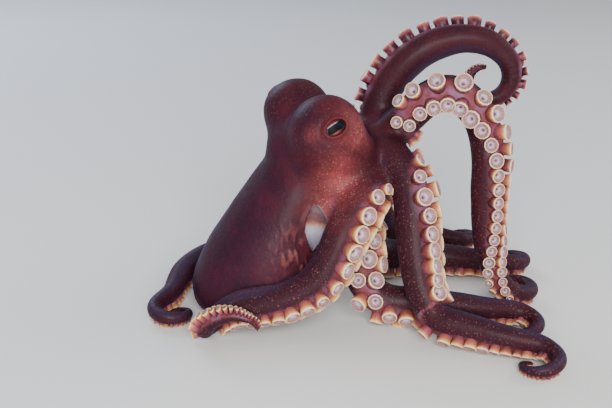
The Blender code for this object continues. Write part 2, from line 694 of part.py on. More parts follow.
def finish_crown(crown, lines, stubs, suckers):
    cutters = []
    for arm, line in lines.items():
        s = stubs[arm]
        radius = 1.5 * at(line, "radii", s)
        cutters.append(disc("end", at(line, "points", s), at(line, "tangents", s), radius, 0, 8 * MM, 16))
    boolean(crown, "DIFFERENCE", cutters)
    cups = []
    for arm, line in lines.items():
        for i, s in enumerate(suckers[arm]):
            if s < stubs[arm]:
                cups.append(sucker(line, s, 1 if i % 2 else -1, SUCKER_SIDES["inner"]))
    root = CROWN_CENTRE + MOUTHWARD * (CROWN_HALF[0] - LIP_ROOT)
    lips = cup(root, MOUTHWARD, RIGHT, (LIP_RADIUS, LIP_RADIUS), LIP_ROOT + LIP_RISE, MOUTH_DEPTH, 12)
    return boolean(crown, "UNION", [*cups, lips])


def arm_nodes(arm, line, stops, suckers):
    """The lengths of one arm beyond the crown, each with its own suckers."""
    bounds = [*stops, line["s"][-1]]
    names = LENGTH_NAMES[len(bounds) - 1]
    for k, name in enumerate(names):
        start, end = bounds[k] + (GAP if k == 0 else GAP / 2), bounds[k + 1] - GAP / 2
        if k == len(names) - 1:
            end = bounds[k + 1]
        node = tube(f"arm_{arm}_{name}", line, start, end, ARM_SIDES[name])
        cups = [sucker(line, s, 1 if i % 2 else -1, SUCKER_SIDES[name])
                for i, s in enumerate(suckers) if start < s < end]
        boolean(node, "UNION", cups)
        cut_at_floor(node)


def paint_nodes():
    """Gives each node its finish, smooth but for its sharp edges."""
    skin = material("skin", SKIN_COLOUR, SKIN_ROUGHNESS)
    arm_skin = material("arm_skin", ARM_COLOUR, SKIN_ROUGHNESS)
    eye = material("eye", EYE_COLOUR, EYE_ROUGHNESS)
    for obj in bpy.data.objects:
        finish = eye if obj.name.startswith("eye") else arm_skin if obj.name.startswith("arm") else skin
        obj.data.materials.clear()
        obj.data.materials.append(finish)
        obj.data.shade_smooth()
        obj.data.set_sharp_from_angle(angle=SHARP_ANGLE)


def main():
    clear_scene()
    lines = {arm: arm_line(spec) for arm, spec in ARMS.items()}
    suckers = {arm: sucker_stops(line) for arm, line in lines.items()}
    stops = {}
    for arm, spec in ARMS.items():
        length = lines[arm]["s"][-1]
        wishes = [ARM_STUB, *[share * length for share in spec["cuts"]]]
        stops[arm] = cut_stops(lines[arm], suckers[arm], wishes)
    stubs = {arm: stops[arm][0] for arm in ARMS}
    funnel = funnel_line()
    mantle(funnel)
    funnel_tube(funnel)
    head, crown = split_front(front_body(lines, stubs), funnel)
    open_eyes(head)
    for eye in BULBS:
        eyeball(eye)
    finish_crown(crown, lines, stubs, suckers)
    for arm, line in lines.items():
        arm_nodes(arm, line, stops[arm], suckers[arm])
    paint_nodes()


if __name__ == "__main__":
    main()
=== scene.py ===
"""A veined octopus sitting on its mantle: one skin over its flesh, its suckers, warts and eyes.

Metres, +Z up, in the frame's own axes. The names right and left are the animal's own.
"""

import math
import random

import bmesh
import bpy
import numpy as np
from mathutils import Matrix, Vector, noise
from mathutils.bvhtree import BVHTree
from mathutils.kdtree import KDTree


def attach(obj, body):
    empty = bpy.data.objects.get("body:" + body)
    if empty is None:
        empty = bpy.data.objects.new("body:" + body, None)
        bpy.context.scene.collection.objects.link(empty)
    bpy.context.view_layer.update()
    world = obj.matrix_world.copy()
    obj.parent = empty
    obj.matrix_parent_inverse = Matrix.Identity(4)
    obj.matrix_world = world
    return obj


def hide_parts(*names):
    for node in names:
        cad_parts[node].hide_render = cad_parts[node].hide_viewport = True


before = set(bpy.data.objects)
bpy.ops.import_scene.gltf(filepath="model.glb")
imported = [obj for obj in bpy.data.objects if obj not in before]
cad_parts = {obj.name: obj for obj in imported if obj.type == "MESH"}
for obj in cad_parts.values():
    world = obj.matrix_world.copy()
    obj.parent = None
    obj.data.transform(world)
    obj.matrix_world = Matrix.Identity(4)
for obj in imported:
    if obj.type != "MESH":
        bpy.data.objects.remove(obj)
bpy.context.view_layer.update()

MM = 0.001
UP = np.array([0.0, 0.0, 1.0])

# Head and arm crown, as in the solids.
HEAD_YAW = math.radians(27)
MOUTH_DROP = math.radians(41)
FORWARD = np.array([math.cos(HEAD_YAW), math.sin(HEAD_YAW), 0.0])
RIGHT = np.array([math.sin(HEAD_YAW), -math.cos(HEAD_YAW), 0.0])
MOUTHWARD = FORWARD * math.cos(MOUTH_DROP) - UP * math.sin(MOUTH_DROP)
CROWN_TOP = FORWARD * math.sin(MOUTH_DROP) + UP * math.cos(MOUTH_DROP)
HEAD_CENTRE = np.array([12.4, -0.8, 38.0]) * MM
HEAD_HALF = (12.0 * MM, 11.2 * MM, 10.5 * MM)
CROWN_CENTRE = np.array([23.5, 3.5, 35.0]) * MM
CROWN_HALF = (6.8 * MM, 10.0 * MM, 9.6 * MM)
LIP_RADIUS = 2.9 * MM
LIP_ROOT = 3.0 * MM
LIP_RISE = 0.9 * MM
LIP_PIT = 0.8 * MM
# The lips' side view: the radius in LIP_RADIUS, and how far out it is, in LIP_ROOT and in LIP_RISE.
LIP_PROFILE = ((1, 0, 0), (1, 1, 0.6), (0.9, 1, 1), (0.6, 1, 1), (0.35, 1, 0.3))

# Eyes: the bulbs, the eyeball in each, and the oval opening in its lids.
BULBS = {
    "right": {"centre": np.array([14.6, -9.0, 44.3]) * MM, "radius": 7.9 * MM, "gaze": (0.21, -0.85, 0.35)},
    "left": {"centre": np.array([7.9, 4.0, 45.7]) * MM, "radius": 7.5 * MM, "gaze": (-0.66, 0.58, 0.48)},
}
EYE_SEAT = 4.8 * MM
EYEBALL_RADIUS = 4.3 * MM
EYE_GAP = 0.1 * MM
LID_RISE = 0.8 * MM
LID_OPENING = (2.45 * MM, 1.6 * MM)
# The opening's cutter: distances out along the gaze, and how wide it is at each.
LID_FLARES = ((0.0, 0.9), (EYE_SEAT + 2 * MM, 1.1))
# The lids' relief: where outside the opening each wave has its top, its width and its height.
LID_WAVES = ((0.35 * MM, 0.35 * MM, 0.20 * MM), (1.3 * MM, 0.45 * MM, -0.12 * MM))
PUPIL_TILT = math.radians(28)
PUPIL_HALF = (2.0 * MM, 0.80 * MM)
PUPIL_SQUARENESS = 4
PUPIL_SLANT = 0.1
PUPIL_RISE = 0.03 * MM

# Cheeks that fill the hollow under each bulb: centre and half sizes forwards, sideways and up, in mm.
CHEEKS = (
    ((14.8, -6.6, 38.4), (7.6, 6.6, 7.4)),
    ((8.6, 5.2, 39.4), (7.4, 6.2, 7.2)),
)

# Fills between each bulb and the arms' roots, in the same way.
FILLS = (
    ((19.5, -6.2, 38.5), (6.5, 6.2, 7.5)),
    ((14.5, 6.5, 39.0), (6.5, 6.2, 7.0)),
    ((16.0, -7.8, 32.0), (5.4, 5.4, 11.0)),
    ((9.4, 4.6, 32.5), (5.4, 5.4, 11.0)),
)

# Mantle, as level slices in mm: height, centre x, centre y, half width forwards, half width sideways.
MANTLE_SLICES = (
    (-1.5, -0.8, -0.8, 11.4, 11.2),
    (0.2, -0.9, -0.9, 14.4, 14.2),
    (2.0, -0.9, -0.9, 16.2, 15.8),
    (5.0, -0.6, -0.6, 16.9, 16.4),
    (9.0, 0.0, -0.4, 16.7, 16.2),
    (14.0, 1.2, -0.4, 15.6, 15.4),
    (20.0, 3.1, -0.6, 13.8, 14.1),
    (27.0, 5.8, -0.8, 11.7, 12.4),
    (33.0, 8.5, -0.9, 10.2, 10.8),
    (37.5, 10.6, -0.9, 8.9, 9.4),
    (40.5, 11.6, -0.9, 6.6, 7.0),
    (42.0, 12.0, -0.9, 3.6, 3.8),
)
MANTLE_SIDES = 72

# Gill slits, by their turn from straight forward, their height and their half sizes, and the groove between.
SLIT_TURN = math.radians(81)
SLIT_HEIGHT = 22.8 * MM
SLIT_HALF = (4.2 * MM, 2.7 * MM, 5.7 * MM)
# The slit's lips, by slit_reach: their top, their width and their rise.
SLIT_LIPS = (1.15, 0.22, 0.45 * MM)
GROOVE_HEIGHT = 17.6 * MM
GROOVE_RADIUS = 0.7 * MM

# Folds in the mantle's skin, in a band behind each slit: the axis they stand round, how far from it they
# reach, the band's middle and width as a turn and as a height, each fold's width and its rise. The scale
# takes the turn, the height and the side to the place in the pattern.
FOLDS_AXIS = np.array([3.0, -0.5, 0.0]) * MM
FOLDS_REACH = 19 * MM
FOLDS_TURN = (SLIT_TURN + math.radians(19), math.radians(17))
FOLDS_HEIGHT = (16 * MM, 6.5 * MM)
FOLDS_SCALE = np.array([16 * MM, 0.42, 9 * MM])
FOLDS_WIDTH = 0.95 * MM
FOLDS_RISE = 0.40 * MM

# Funnel: its route in mm, its radius at the root and the tip, and its bore's radius and ends from the tip.
FUNNEL_ROUTE = ((9.5, 0.4, 27.0), (15.5, 1.0, 23.0), (19.6, 1.0, 19.4), (22.4, 1.0, 15.6), (24.2, 0.8, 11.6))
FUNNEL_RADII = (3.4 * MM, 2.0 * MM)
FUNNEL_BORE = (1.3 * MM, (-4.5 * MM, 2 * MM))

# Arms, as in the solids: route points in mm, the way the suckers face at each, and the curl at the end,
# which has an axis, a first and a last radius in mm and its turns. The ring is the angle from the crown's
# top at which the arm leaves it, in degrees.
ARM_BASE_RADIUS = 4.4 * MM
ARM_TIP_RADIUS = 0.5 * MM
RING_RADIUS = 9 * MM
INSIDE_RADIUS = 4 * MM
SUCKER_STAND = 0.6
ON_FLOOR = -0.9
CURL_LEAN = 0.6
CURL_STEPS = 16
ARMS = {
    "right_1": {
        "ring": 22.5,
        "route": ((34.6, 1.2, 46.6), (39.0, 0.4, 50.6), (44.8, -0.6, 50.8), (49.6, -1.8, 45.8),
                  (51.4, -3.0, 38.0), (51.4, -4.0, 29.0), (51.6, -5.0, 20.0), (53.0, -5.6, 12.0),
                  (56.6, -5.8, 6.2), (61.0, -5.0, 3.4)),
        "faces": ((0.0, -0.8, 0.6), (0, -1, 0.3), (0, -1, 0.2), (0.2, -1, 0), (0.6, -0.8, 0),
                  (0.8, -0.6, 0), (0.7, -0.6, 0), (0.3, -0.8, -0.3), (0, -0.7, -0.7), (0, -0.2, -1)),
        "curl": ((0, 0, 1), 5.6, 2.4, 0.95),
    },
    "right_2": {
        "ring": 67.5,
        "route": ((33.2, -8.6, 31.8), (33.9, -12.6, 24.5), (34.6, -16.2, 16.5), (36.2, -19.8, 9.5),
                  (40.0, -23.2, 4.5), (47.0, -26.4, 0.0), (54.0, -29.2, 0.0), (60.0, -31.0, 0.0)),
        "faces": ((0.75, -0.6, 0.2), (0.85, -0.5, 0), (0.85, -0.4, -0.2), (0.6, -0.5, -0.5),
                  (0.2, -0.4, -0.9), (0, -0.3, -1), (0, -0.2, -1), (0, 0, -1)),
        "curl": ((0, 0, -1), 5.5, 2.0, 1.0),
    },
    "right_3": {
        "ring": 112.5,
        "route": ((22.4, -12.7, 29.7), (18.8, -16.8, 24.6), (16.4, -18.8, 19.6), (13.9, -20.0, 15.0),
                  (10.0, -20.6, 11.4), (5.3, -20.9, 9.2), (0.4, -20.9, 7.8), (-4.6, -20.5, 6.8),
                  (-9.2, -20.2, 4.6), (-12.0, -21.4, 2.6), (-12.4, -24.0, 3.4), (-9.8, -26.0, 6.6),
                  (-5.8, -26.9, 8.2), (-2.2, -27.1, 7.2)),
        "faces": ((0.9, -0.4, 0.1), (0.9, -0.4, 0), (0.9, -0.4, -0.2), (0.75, -0.4, -0.5),
                  (0.4, -0.45, -0.8), (0.1, -0.4, -0.9), (0, -0.35, -0.95), (-0.1, -0.3, -0.95),
                  (-0.3, -0.1, -0.95), (-0.9, 0.2, -0.4), (-0.9, 0, 0.4), (-0.6, -0.3, 0.75),
                  (0, -0.3, 0.95), (0.5, -0.3, 0.8)),
        "curl": ((0, 1, 0), 2.8, 2.0, 0.22),
    },
    "right_4": {
        "ring": 157.5,
        "route": ((21.6, -6.2, 22.0), (22.0, -9.4, 15.5), (23.2, -11.4, 10.2), (26.6, -12.8, 6.4),
                  (32.5, -13.6, 4.6), (42.0, -14.0, 0.0), (51.0, -14.4, 0.0), (58.0, -14.0, 0.0)),
        "faces": ((0.95, -0.1, 0.1), (0.8, -0.6, 0), (0.35, -0.9, -0.2), (0.1, -0.85, -0.5),
                  (0, -0.5, -0.85), (0, -0.2, -1), (0, 0, -1), (0, 0, -1)),
        "curl": ((0, 0, -1), 5.0, 2.0, 1.0),
    },
    "left_4": {
        "ring": -157.5,
        "route": ((19.4, 8.8, 21.5), (22.4, 11.4, 14.5), (27.0, 13.6, 8.5), (33.0, 15.0, 3.5),
                  (41.0, 15.6, 0.0), (49.0, 15.2, 0.0), (56.0, 14.4, 0.0), (62.5, 14.6, 0.0)),
        "faces": ((0.8, 0.3, 0.1), (0.7, 0.3, -0.3), (0.4, 0.3, -0.7), (0, 0.2, -1), (0, 0, -1),
                  (0, 0, -1), (0, 0, -1), (0, 0, -1)),
        "curl": ((0, 0, 1), 5.5, 2.2, 1.0),
    },
    "left_3": {
        "ring": -112.5,
        "route": ((14.2, 16.2, 29.0), (10.2, 20.6, 21.5), (5.0, 22.8, 14.0), (-2.0, 22.6, 8.4),
                  (-9.8, 19.6, 5.0), (-16.2, 14.4, 0.0), (-19.9, 8.4, 0.0), (-21.2, 2.0, 0.0),
                  (-22.0, -4.4, 0.0), (-25.0, -9.8, 0.0)),
        "faces": ((0, 1, 0.2), (0, 1, 0), (-0.1, 0.9, -0.3), (-0.2, 0.7, -0.7), (-0.3, 0.5, -0.8),
                  (-0.3, 0.3, -0.9), (-0.3, 0.1, -0.95), (-0.3, 0, -0.95), (-0.2, 0, -1), (0, 0, -1)),
        "curl": ((0, 0, 1), 4.8, 2.0, 1.15),
    },
    "left_2": {
        "ring": -67.5,
        "route": ((21.0, 19.5, 37.6), (22.0, 26.5, 32.5), (25.0, 32.0, 24.5), (28.2, 34.8, 15.5),
                  (31.5, 35.6, 8.0), (37.0, 35.4, 3.0), (44.0, 34.0, 0.0), (51.0, 32.4, 0.0)),
        "faces": ((0.3, 0.8, 0.5), (0.5, 0.8, 0.3), (0.6, 0.8, 0), (0.6, 0.8, -0.2), (0.4, 0.6, -0.7),
                  (0, 0.3, -0.9), (0, 0, -1), (0, 0, -1)),
        "curl": ((0, 0, 1), 5.0, 2.0, 1.0),
    },
    "left_1": {
        "ring": -22.5,
        "route": ((27.6, 9.8, 47.4), (30.0, 9.6, 52.0), (33.2, 9.4, 56.0), (37.6, 9.2, 59.4),
                  (42.8, 9.0, 61.4), (47.8, 8.9, 62.0), (52.6, 8.8, 60.8), (56.6, 8.6, 57.6)),
        "faces": ((-0.9, 0.3, 0.2), (-0.8, 0.4, 0.4), (-0.65, 0.5, 0.6), (-0.4, 0.55, 0.7),
                  (-0.2, 0.6, 0.75), (0, 0.6, 0.75), (0.35, 0.55, 0.7), (0.8, 0.4, 0.5)),
        "curl": ((0, 1, 0), 6.6, 2.4, 0.95),
    },
}
PATH_POINTS = 240
ROUTE_PASSES = 14
ARM_SIDES = 22
ARM_RING_STEP = 0.7 * MM
# Where along an arm its own length begins, and how far out from its line its skin can be, in arm radii.
ARM_OWN = (16 * MM, 24 * MM)
ARM_NEAR = 1.6

# The membranes between neighbouring arms, by how far down the arms each reaches, in mm.
WEB_DEPTHS = {
    ("right_1", "right_2"): 15, ("right_2", "right_3"): 15, ("right_3", "right_4"): 13,
    ("right_4", "left_4"): 11, ("left_4", "left_3"): 14, ("left_3", "left_2"): 15.5,
    ("left_2", "left_1"): 15.5, ("left_1", "right_1"): 14,
}
WEB_THICKNESS = 1.6 * MM
WEB_HOLLOW = 0.36
WEB_STEPS = 24

# The skin fold along the back of the arm that lies round the mantle: its height in mm by the share of the
# arm's length, how far out its middle lies in arm radii, and its thickness.
FOLD_ARM = "right_3"
FOLD_RISES = ((0.28, 0.0), (0.36, 0.8), (0.48, 0.9), (0.56, 1.3), (0.63, 2.5), (0.69, 2.2), (0.75, 0.8),
              (0.79, 0.0))
FOLD_OUT = 0.7
FOLD_THICKNESS = 1.2 * MM

# Suckers: two staggered rows on the mouth side of each arm, smaller by the mouth and towards the tip.
SUCKER_FIRST = 7 * MM
SUCKER_FULL = 19 * MM
SUCKER_AT_MOUTH = 0.6
SUCKER_RIM = 0.47
SUCKER_HEIGHT = 1.1
SUCKER_STEPS = (1.05, 0.85)
SUCKER_LEAST = 0.3 * MM
ROW_SPREAD = math.radians(28)
SUCKER_VARIETY = 0.10
SUCKER_TILT = math.radians(10)
# Small suckers are shorter along the arm than across it: rim radii, and the share at each.
SUCKER_SQUEEZE = ((0.5 * MM, 1.2 * MM), (0.8, 1.0))
# Suckers that look further round the arm than in the solids: the share of the arm's length from which they
# do, the turn, and how much larger and taller they are there. The change comes in over a blend, and larger
# ones are squeezed along the arm.
SUCKER_CHANGES = {
    "left_1": (0.0, math.radians(-20), 1.0, 1.0),
    "right_3": (0.80, math.radians(-38), 1.4, 1.5),
}
NO_CHANGE = (0.0, 0.0, 1.0, 1.0)
CHANGE_BLEND = 0.03
LARGE_SQUEEZE = 0.3
# The side view of a sucker whose rim has radius 1: out from its axis, up from its rim, and how far it is
# from the root to the hollow's bottom. Suckers with a rim under SUCKER_SMALL take the plainer one.
SUCKER_SMALL = 0.8 * MM
SUCKER_PROFILES = {
    12: ((0.92, -2.3, 0.0), (0.93, -0.62, 0.22), (1.0, -0.20, 0.36), (0.95, 0.03, 0.48),
         (0.80, -0.02, 0.60), (0.40, -0.46, 0.84), (0.0, -0.84, 1.0)),
    8: ((0.90, -2.3, 0.0), (0.92, -0.60, 0.22), (1.0, -0.10, 0.42), (0.82, 0.02, 0.58),
        (0.36, -0.42, 0.84), (0.0, -0.7, 1.0)),
}
SUCKER_RIBS = 18
# How orange the stalks are on each arm, from purple, 0, to orange, 1, and by how much single ones vary.
STALK_WARMTH = {
    "right_1": 0.55, "right_2": 0.6, "right_3": 1.0, "right_4": 0.8,
    "left_4": 0.6, "left_3": 0.7, "left_2": 0.6, "left_1": 0.1,
}
WARMTH_VARIETY = 0.25

# Skin: its grain, how it is smoothed, its soft lumps (size, shift and height) and its most triangles.
GRAIN = 0.4 * MM
BODY_PASSES = 110
ARM_SOFTNESS = 0.1
HEAD_PASSES = 120
HEAD_BLEND = (9 * MM, 15 * MM)
BULB_SWELL = 0.8 * MM
LID_SWELL = 0.1 * MM
LID_PASSES = 12
SKIN_LUMPS = ((7 * MM, 0.0, 0.07 * MM), (2.2 * MM, 7.0, 0.015 * MM))
SKIN_TRIANGLES = 185000

# Warts on the arms and the head, and how speckled the plainer arms are. On an arm they lie between two
# shares of its length and within an angle of its back. All keep near the skin they were meant for, above
# the floor and off the lids' opening.
ARM_SPECKS = {"left_1": 0.15, "left_3": 0.3}
WART_SEED = 11
WARTS_PER_ARM = 420
WARTS_ON_HEAD = 260
WART_SIZES = (0.07 * MM, 0.18 * MM)
WART_SHARES = (0.06, 0.82)
WART_SPREAD = math.radians(105)
WART_HEIGHT = 0.5
HEAD_WART_SIZE = 0.7
WART_TO_SKIN = 1.5 * MM
WART_TO_FLOOR = 1 * MM
WART_TO_LID = 0.8 * MM

# Reddened skin, with sizes in mm and strengths: the column under each eye by its places in mm, the spots by
# each eye by how far they are from its middle along the gaze, forwards and up in mm, and the one on the
# mantle behind each slit by its height and turn.
COLUMNS = {
    "right": (((17.4, -14.6, 38.0), 4.6, 0.80), ((16.8, -13.6, 33.5), 4.8, 0.95),
              ((16.0, -12.8, 28.5), 4.6, 0.95), ((15.4, -11.8, 24.0), 3.6, 0.80)),
    "left": (((5.6, 10.4, 38.0), 4.6, 0.80), ((7.0, 9.8, 33.5), 4.8, 0.90),
             ((7.0, 9.6, 28.5), 4.6, 0.90), ((7.4, 9.6, 24.0), 3.6, 0.70)),
}
EYE_BLUSH = (((2.0, 5.5, -1.0), 5.0, 0.85), ((2.5, -5.5, -1.0), 2.2, 0.3))
MANTLE_BLUSH = ((16 * MM, SLIT_TURN + math.radians(20)), 6.5, 0.12)

# Colours inside a gill slit, from its foot to its top. The darker foot and the dark purple brown band above
# the orange are painted shade in the slit.
LINING_AND_PAINTED_SHADE = ((0.0, (0.16, 0.15, 0.20)), (0.20, (0.34, 0.33, 0.39)), (0.38, (0.36, 0.31, 0.33)),
          (0.47, (0.34, 0.17, 0.11)), (0.56, (0.18, 0.072, 0.068)), (0.68, (0.16, 0.070, 0.078)),
          (0.82, (0.18, 0.095, 0.11)), (0.93, (0.30, 0.21, 0.22)))

# Colours along a sucker's side view, from the stalk's root over the rim to the hollow's bottom. In the cup,
# the darker pinkish brown inner wall and the dark bottom of the hollow are painted shade.
CUP_AND_PAINTED_SHADE = ((0.54, (0.42, 0.26, 0.20)), (0.62, (0.27, 0.13, 0.12)), (0.76, (0.34, 0.22, 0.24)),
          (0.86, (0.46, 0.38, 0.46)), (0.95, (0.13, 0.04, 0.05)))
ORANGE_STALK = ((0.0, (0.050, 0.012, 0.018)), (0.12, (0.17, 0.045, 0.065)), (0.20, (0.30, 0.085, 0.060)),
                (0.29, (0.46, 0.20, 0.055)), (0.37, (0.60, 0.40, 0.16)), (0.48, (0.70, 0.58, 0.36)), *CUP_AND_PAINTED_SHADE)
PURPLE_STALK = ((0.0, (0.022, 0.006, 0.010)), (0.20, (0.030, 0.007, 0.013)), (0.27, (0.13, 0.026, 0.034)),
                (0.35, (0.26, 0.08, 0.08)), (0.40, (0.56, 0.36, 0.29)), (0.48, (0.66, 0.50, 0.42)), *CUP_AND_PAINTED_SHADE)

# The view of the photo.
CAMERA_ELEVATION = math.radians(19)
CAMERA_TARGET = Vector((0.010, 0.0, 0.0245))
CAMERA_DISTANCE = 0.240
CAMERA_LENS = 60
CAMERA_SENSOR = 36

# The studio: how far the floor lies under the model, and the lights' places, sizes, powers and colours.
FLOOR_GAP = 0.1 * MM
LIGHTS = (
    ("key", (0.04, -0.56, 0.25), 0.35, 8.0, (1.0, 0.97, 0.94)),
    ("fill", (0.50, 0.10, 0.30), 0.4, 1.6, (1.0, 0.97, 0.94)),
    ("rim", (-0.30, 0.45, 0.34), 0.35, 2.4, (0.66, 0.76, 1.0)),
)


def unit(vector):
    return np.asarray(vector, float) / np.linalg.norm(vector)


def square_to(vector, axis):
    """The direction nearest to a vector that is square to an axis."""
    return unit(vector - axis * (vector @ axis))


def fade(value, low, high):
    """0 below low, 1 above high and smooth between."""
    t = np.clip((np.asarray(value, float) - low) / (high - low), 0, 1)
    return t * t * (3 - 2 * t)


def hump(value, centre, width):
    return np.exp(-(((value - centre) / width) ** 2))


def spline(points, steps=12):
    """A smooth curve (Catmull-Rom) through points of any dimension."""
    p = np.asarray(points, float)
    p = np.vstack([2 * p[0] - p[1], p, 2 * p[-1] - p[-2]])
    out = []
    for a, b, c, d in zip(p, p[1:], p[2:], p[3:]):
        for t in np.arange(steps) / steps:
            cubic = (3 * b - a - 3 * c + d) * t**3
            out.append(0.5 * (2 * b + (c - a) * t + (2 * a - 5 * b + 4 * c - d) * t * t + cubic))
    return np.array([*out, p[-2]])


def resample(values, at_first, where):
    return np.stack([np.interp(where, at_first, column) for column in values.T], axis=1)


def curl_points(start, heading, axis, first, last, turns):
    """Points of a curl that leaves start along heading and turns about axis, ever tighter."""
    axis = unit(axis)
    points, inward = [], []
    here, way = np.array(start), square_to(heading, axis)
    turn = 2 * math.pi * turns / CURL_STEPS
    for radius in np.linspace(first, last, CURL_STEPS):
        way = way * math.cos(turn) + np.cross(axis, way) * math.sin(turn)
        here = here + way * radius * turn
        points.append(here)
        inward.append(np.cross(axis, way))
    return points, inward


def transported(tangents):
    """A direction across the line that never twists about it."""
    across = [unit(np.cross(tangents[0], UP + 0.3 * RIGHT))]
    for tangent in tangents[1:]:
        across.append(square_to(across[-1], tangent))
    return np.array(across)


def route_line(points, radii, looks):
    """What sweeps need at even steps along a route: places, radii and directions."""
    distance = np.concatenate([[0], np.cumsum(np.linalg.norm(np.diff(points, axis=0), axis=1))])
    s = np.linspace(0, distance[-1], PATH_POINTS)
    points, looks = resample(points, distance, s), resample(looks, distance, s)
    tangents = np.gradient(points, axis=0)
    tangents /= np.linalg.norm(tangents, axis=1)[:, None]
    return {"s": s, "points": points, "radii": radii(s / s[-1]), "looks": looks, "tangents": tangents,
            "across": transported(tangents)}


def arm_line(spec):
    """An arm's centre line from inside the crown to the tip, raised so that its suckers meet the floor."""
    angle = math.radians(spec["ring"])
    out = CROWN_TOP * math.cos(angle) + RIGHT * math.sin(angle)
    start = [CROWN_CENTRE + out * radius for radius in (INSIDE_RADIUS, RING_RADIUS)]
    route = [np.array(p) * MM for p in spec["route"]]
    axis, first, last, turns = spec["curl"]
    curled, inward = curl_points(route[-1], route[-1] - route[-2], axis, first * MM, last * MM, turns)
    faces = [unit(face) for face in spec["faces"]]
    if faces[-1][2] < ON_FLOOR:
        curl_faces = [unit(faces[-1] + inner * CURL_LEAN) for inner in inward]
    else:
        curl_faces = [-inner for inner in inward]
    looks = spline([MOUTHWARD, MOUTHWARD, *faces, *curl_faces])

    def radii(share):
        return ARM_TIP_RADIUS + (ARM_BASE_RADIUS - ARM_TIP_RADIUS) * (1 - share**2)

    line = route_line(spline([*start, *route, *curled]), radii, looks)
    raised = line["points"].copy()
    downward = np.clip(-line["looks"][:, 2], 0, 1)
    raised[:, 2] = np.maximum(raised[:, 2], line["radii"] * (1 + SUCKER_STAND * downward))
    for _ in range(ROUTE_PASSES):
        raised[1:-1] = (raised[:-2] + 2 * raised[1:-1] + raised[2:]) / 4
    return route_line(raised, radii, line["looks"])


def at(line, key, s):
    """A line's value of one kind at a distance along it."""
    values = line[key]
    if values.ndim == 1:
        return float(np.interp(s, line["s"], values))
    return np.array([np.interp(s, line["s"], column) for column in values.T])


def headings(line, s):
    """The line's way at a distance, and the way that its suckers look there."""
    tangent = unit(at(line, "tangents", s))
    return tangent, square_to(at(line, "looks", s), tangent)


# Meshes


def link(obj):
    bpy.context.scene.collection.objects.link(obj)
    return obj


def as_mesh(form, name):
    data = bpy.data.meshes.new(name)
    form.to_mesh(data)
    form.free()
    return data


def as_object(form, name):
    return link(bpy.data.objects.new(name, as_mesh(form, name)))


def outward(form):
    bmesh.ops.recalc_face_normals(form, faces=form.faces)
    if form.calc_volume(signed=True) < 0:
        bmesh.ops.reverse_faces(form, faces=form.faces)


def swept(name, rings, end_point=None):
    """A closed skin through rings of points, each extruded to the next. It ends flat or at a point."""
    form = bmesh.new()
    count = len(rings[0])
    loop = bmesh.ops.create_circle(form, cap_ends=True, segments=count, radius=1.0)["verts"]
    edges = [form.edges.get((loop[i], loop[(i + 1) % count])) for i in range(count)]
    for vertex, place in zip(loop, rings[0]):
        vertex.co = Vector(place)
    for ring in rings[1:]:
        grown = bmesh.ops.extrude_edge_only(form, edges=edges)["geom"]
        new = [g for g in grown if isinstance(g, bmesh.types.BMVert)]
        for vertex, place in zip(new, ring):
            vertex.co = Vector(place)
        edges = [form.edges.get((new[i], new[(i + 1) % count])) for i in range(count)]
    cap = bmesh.ops.contextual_create(form, geom=edges)["faces"]
    if end_point is not None:
        bmesh.ops.poke(form, faces=cap)["verts"][0].co = Vector(end_point)
    bmesh.ops.triangulate(form, faces=[f for f in form.faces if len(f.verts) > 4])
    outward(form)
    return as_object(form, name)


def oval(centre, first, second, count):
    """Points round an oval whose two half axes are given."""
    angles = np.arange(count) * 2 * math.pi / count
    return [centre + first * math.cos(a) + second * math.sin(a) for a in angles]


def tube(name, line, start, end, sides, longest, pointed=False):
    """A closed length between two distances along a line, with a flat or a pointed end."""
    rings = []
    for s in np.linspace(start, end, max(2, math.ceil((end - start) / longest) + 1)):
        tangent, radius = unit(at(line, "tangents", s)), at(line, "radii", s)
        across = square_to(unit(at(line, "across", s)), tangent)
        rings.append(oval(at(line, "points", s), across * radius, np.cross(tangent, across) * radius, sides))
    tip = at(line, "points", end) + at(line, "tangents", end) * at(line, "radii", end) if pointed else None
    return swept(name, rings, tip)


def placing(columns, centre):
    """The matrix that takes x, y and z to three columns and the origin to a centre."""
    turn = Matrix([[float(v) for v in row] for row in columns])
    return Matrix.Translation(Vector(centre)) @ turn.to_4x4()


def ball(name, centre, axes, halves, segments=48, rings=32):
    """An ellipsoid with its half sizes along three directions."""
    form = bmesh.new()
    bmesh.ops.create_uvsphere(form, u_segments=segments, v_segments=rings, radius=1.0)
    bmesh.ops.transform(form, matrix=placing(np.array(axes).T * np.array(halves), centre), verts=form.verts)
    outward(form)
    return as_object(form, name)


def modified(obj, kind, **settings):
    """Puts one modifier on a piece and applies it."""
    modifier = obj.modifiers.new(kind.lower(), kind)
    for key, value in settings.items():
        setattr(modifier, key, value)
    bpy.context.view_layer.update()
    graph = bpy.context.evaluated_depsgraph_get()
    mesh = bpy.data.meshes.new_from_object(obj.evaluated_get(graph))
    obj.modifiers.clear()
    obj.data = mesh
    return obj


def cut_out(obj, cutters):
    """Takes a list of objects out of obj at once."""
    group = bpy.data.collections.new("cutters")
    bpy.context.scene.collection.children.link(group)
    for cutter in cutters:
        bpy.context.scene.collection.objects.unlink(cutter)
        group.objects.link(cutter)
    modified(obj, "BOOLEAN", operation="DIFFERENCE", solver="MANIFOLD", operand_type="COLLECTION",
             collection=group)
    for cutter in cutters:
        bpy.data.objects.remove(cutter)
    bpy.data.collections.remove(group)


def vectors(items, key):
    flat = np.zeros(len(items) * 3, np.float32)
    items.foreach_get(key, flat)
    return flat.reshape(-1, 3).astype(float)


def places_of(obj):
    return vectors(obj.data.vertices, "co")


def move_to(obj, places):
    obj.data.vertices.foreach_set("co", places.astype(np.float32).ravel())
    obj.data.update()


def keep_above_floor(obj):
    places = places_of(obj)
    places[:, 2] = np.maximum(places[:, 2], 0)
    move_to(obj, places)


def mark(obj, **kinds):
    """Keeps numbers for each vertex, for a material to read."""
    for name, values in kinds.items():
        made = obj.data.attributes.new(name, "FLOAT", "POINT")
        made.data.foreach_set("value", np.asarray(values, np.float32))


